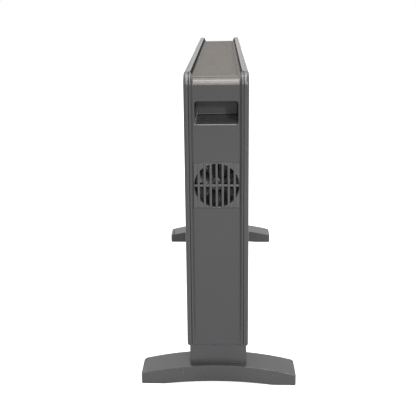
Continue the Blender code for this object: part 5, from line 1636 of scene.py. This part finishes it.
@dataclass
class SmallFittings:
    """The lamp's lens and the bush of the cord inlet, both turned and both on the cap's field."""

    seat: float = FIELD + FIT
    lens_stem: Point = (0.003, 0.009)
    lens_radius: float = 0.004
    lens_rim: float = 0.0004
    lens_dome: float = 0.001
    dome_steps: int = 9
    bush_bore: float = 0.0035
    bush_neck: float = 0.007
    bush_flange: float = 0.0095
    bush_front: float = 0.0018
    bush_depth: float = 0.016
    bush_rounds: Triple = (0.0008, 0.0012, 0.0004)

    def build(self) -> None:
        """Build both fittings."""
        lens = Solid.turned(self.lens_profile(), Axis.X, (0, LENS_HEIGHT), steps=48)
        lens.mirror(Axis.X).piece("indicator_lens_dome", RED_LENS, "indicator_lens")
        bush = Solid.turned(self.bush_profile(), Axis.X, (0, INLET_HEIGHT), closed=True)
        bush.mirror(Axis.X).piece("cord_inlet_bush", BLACK_MOULDING, "cord_inlet")

    def lens_profile(self) -> list[Point]:
        """Return the lens's half section: a stem, a rim and a low dome.

        Returns:
            Points as radius and distance along the axis.
        """
        stem, depth = self.lens_stem
        rim = self.seat + self.lens_rim
        quarter = arc((0, 0), 1, 0, 90, self.dome_steps)[1:-1]
        dome = [(self.lens_radius * u, rim + self.lens_dome * v) for u, v in quarter]
        return [
            (0.0, self.seat - depth), (stem, self.seat - depth), (stem, self.seat),
            (self.lens_radius, self.seat), (self.lens_radius, rim), *dome, (0.0, rim + self.lens_dome),
        ]

    def bush_profile(self) -> list[Point]:
        """Return the bush's ring section: a flange in front and a neck behind.

        Returns:
            Points as radius and distance along the axis.
        """
        inner, outer, back = self.bush_rounds
        front, end = self.seat + self.bush_front, self.seat - self.bush_depth
        return filleted((
            (self.bush_bore, front, inner), (self.bush_flange, front, outer),
            (self.bush_flange, self.seat, 0), (self.bush_neck, self.seat, 0),
            (self.bush_neck, end, back), (self.bush_bore, end, back),
        ), step_deg=15)


# Pieces that keep the frame's shapes


@dataclass
class InnerWorks:
    """The frame's nodes whose shape is kept, each with its finish."""

    nodes: dict[str, bpy.types.Object]
    kept: tuple[tuple[Finish, tuple[str, ...]], ...] = (
        (ZINC, ("bottom_plate", "element_stand_fan_end", "element_stand_control_end", "thermostat_shaft")),
        (SHADED_ZINC, ("fan_bracket", "fan_bearing_front", "fan_bearing_rear")),
        (BLACK_MOULDING, ("fan_shroud", "thermal_cutout", "thermostat_body")),
        (ALUMINIUM, ("heater_element_lower", "heater_element_upper", "rear_heat_shield")),
        (LAMINATIONS, ("fan_motor_core",)),
        (COIL_TAPE, ("fan_motor_coil",)),
        (CERAMIC, ("terminal_block", "element_insulator")),
        (SCREW_STEEL, ("fan_rotor_shaft", "foot_screw", "cap_screw", "panel_screw", "shroud_screw",
                       "motor_screw")),
    )

    def dress(self) -> None:
        """Give every kept node the finish that the start of its name calls for."""
        for finish, starts in self.kept:
            for name in [name for name in self.nodes if name.startswith(starts)]:
                node = self.nodes[name]
                if not node.material_slots:
                    node.data.materials.append(finish.material())
                for slot in node.material_slots:
                    slot.material = finish.material()
                LOG.info("node %s keeps its shape, in %s", name, finish.name)


# Studio


@dataclass(frozen=True)
class Lamp:
    """A soft rectangular lamp, with the place that it stands at, the point that it lights and its watts."""

    name: str
    place: Triple
    aim: Triple
    size: Point
    power: float
    tint: Colour = (1.0, 1.0, 1.0)

    def build(self) -> None:
        """Set the lamp up."""
        data = bpy.data.lights.new(self.name, "AREA")
        data.shape = "RECTANGLE"
        data.size, data.size_y = self.size
        data.energy = self.power
        data.color = self.tint
        lamp = placed(self.name, data)
        lamp.location = self.place
        lamp.rotation_euler = (Vector(self.aim) - Vector(self.place)).to_track_quat("-Z", "Y").to_euler()


WARM = (1.0, 0.9, 0.82)
COOL = (0.95, 0.98, 1.0)
STUDIO_LAMPS = (
    Lamp("top_softbox", (1.05, 0.0, 1.9), (1.05, 0.0, 0.0), (1.8, 0.45), 30, WARM),
    Lamp("front_softbox", (2.26, 0.0, 1.49), (0.36, 0.0, 0.44), (0.3, 1.3), 13, WARM),
    Lamp("key_lamp", (2.69, 0.92, 1.2), (0.36, 0.0, 0.4), (0.28, 0.28), 52, COOL),
    Lamp("wide_softbox", (-0.1, 0.0, 1.7), (-0.1, 0.0, 0.0), (1.2, 1.6), 20),
)


@dataclass
class Studio:
    """The pale floor, the soft lights and the camera at the photograph's angle."""

    image_size: float = 416.0
    focal_pixels: float = 721.75
    middle_column: float = 180.13
    middle_row: float = 172.06
    sensor_mm: float = 36.0
    eye: Triple = (1.2553, 0.0098, 0.5441)
    yaw_deg: float = -3.61
    pitch_deg: float = 13.945
    roll_deg: float = 1.1025
    floor_reach: float = 6.0
    floor_colour: tuple[float, ...] = (0.54, 0.56, 0.58, 1)
    glow_distances: Point = (0.5, 2.0)
    soft_level: Point = (0.8, 1.0)

    def build(self) -> None:
        """Set up floor, world, lights and camera."""
        bpy.context.scene.view_settings.view_transform = "Standard"
        self.add_floor()
        self.add_world()
        for lamp in STUDIO_LAMPS:
            lamp.build()
        self.add_camera()

    def add_floor(self) -> None:
        """Add the plain pale floor, white to the camera except where the heater shades it."""
        shape = bmesh.new()
        bmesh.ops.create_grid(shape, x_segments=1, y_segments=1, size=self.floor_reach)
        mesh = bpy.data.meshes.new("floor")
        shape.to_mesh(mesh)
        shape.free()
        floor = placed("floor", mesh)
        material = bpy.data.materials.new("pale_floor")
        graph = Graph(material)
        graph.nodes.clear()
        matt = graph.add("BsdfDiffuse", {"Color": self.floor_colour}).outputs[0]
        away = graph.add("VectorMath", {0: graph.place()}, operation="LENGTH").outputs["Value"]
        level = graph.ranged(away, self.glow_distances, self.soft_level)
        glow = graph.add("Emission", {"Color": WHITE, "Strength": level}).outputs[0]
        both = graph.add("AddShader", {0: matt, 1: glow}).outputs[0]
        seen = graph.add("LightPath", {}).outputs["Is Camera Ray"]
        mixed = graph.add("MixShader", {0: seen, 1: matt, 2: both}).outputs[0]
        graph.add("OutputMaterial", {"Surface": mixed})
        mesh.materials.append(material)

    def add_world(self) -> None:
        """Surround the heater with soft light that looks white where it is seen."""
        world = bpy.data.worlds.new("studio")
        bpy.context.scene.world = world
        graph = Graph(world)
        level = graph.ranged(seen_directly(graph), (0, 1), self.soft_level)
        graph.feed(graph.nodes["Background"], {"Color": WHITE, "Strength": level})

    def add_camera(self) -> None:
        """Add the camera at the photograph's viewing angle."""
        yaw, pitch, roll = (math.radians(angle) for angle in (self.yaw_deg, self.pitch_deg, self.roll_deg))
        forward = Vector((
            -math.cos(pitch) * math.cos(yaw), math.cos(pitch) * math.sin(yaw), -math.sin(pitch),
        ))
        level = forward.cross(Vector((0, 0, 1))).normalized()
        down = forward.cross(level).normalized()
        right = level * math.cos(roll) + down * math.sin(roll)
        down = down * math.cos(roll) - level * math.sin(roll)
        data = bpy.data.cameras.new("photo_camera")
        data.sensor_width = self.sensor_mm
        data.lens = self.focal_pixels / self.image_size * self.sensor_mm
        data.shift_x = (self.image_size / 2 - self.middle_column) / self.image_size
        data.shift_y = (self.middle_row - self.image_size / 2) / self.image_size
        camera = placed("photo_camera", data)
        turn = Matrix((right, -down, -forward)).transposed().to_4x4()
        turn.translation = Vector(self.eye)
        camera.matrix_world = turn
        bpy.context.scene.camera = camera


def seen_directly(graph: Graph) -> bpy.types.NodeSocket:
    """Tell rays from the camera, from gloss and through glass from the others.

    Args:
        graph: The world's nodes.

    Returns:
        A value that is 1 for them.
    """
    path = graph.add("LightPath", {}).outputs
    value = path["Is Camera Ray"]
    for name in ("Is Glossy Ray", "Is Transmission Ray"):
        value = graph.add("Math", {0: value, 1: path[name]}, operation="MAXIMUM").outputs[0]
    return value


def main() -> None:
    """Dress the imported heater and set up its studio."""
    logging.basicConfig(level=logging.INFO, format="%(name)s: %(message)s")
    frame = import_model()
    Studio().build()
    for side in Side:
        SidePanel(side).build()
    for end in End:
        EndCap(end).build()
        Foot(end).build()
    for assembly in (FanGrille(), FanWheel(), OutletGrille(), ThermostatKnob()):
        assembly.build()
    for job in SwitchJob:
        RockerSwitch(job).build()
    SmallFittings().build()
    InnerWorks(frame["nodes"]).dress()


if __name__ == "__main__":
    main()
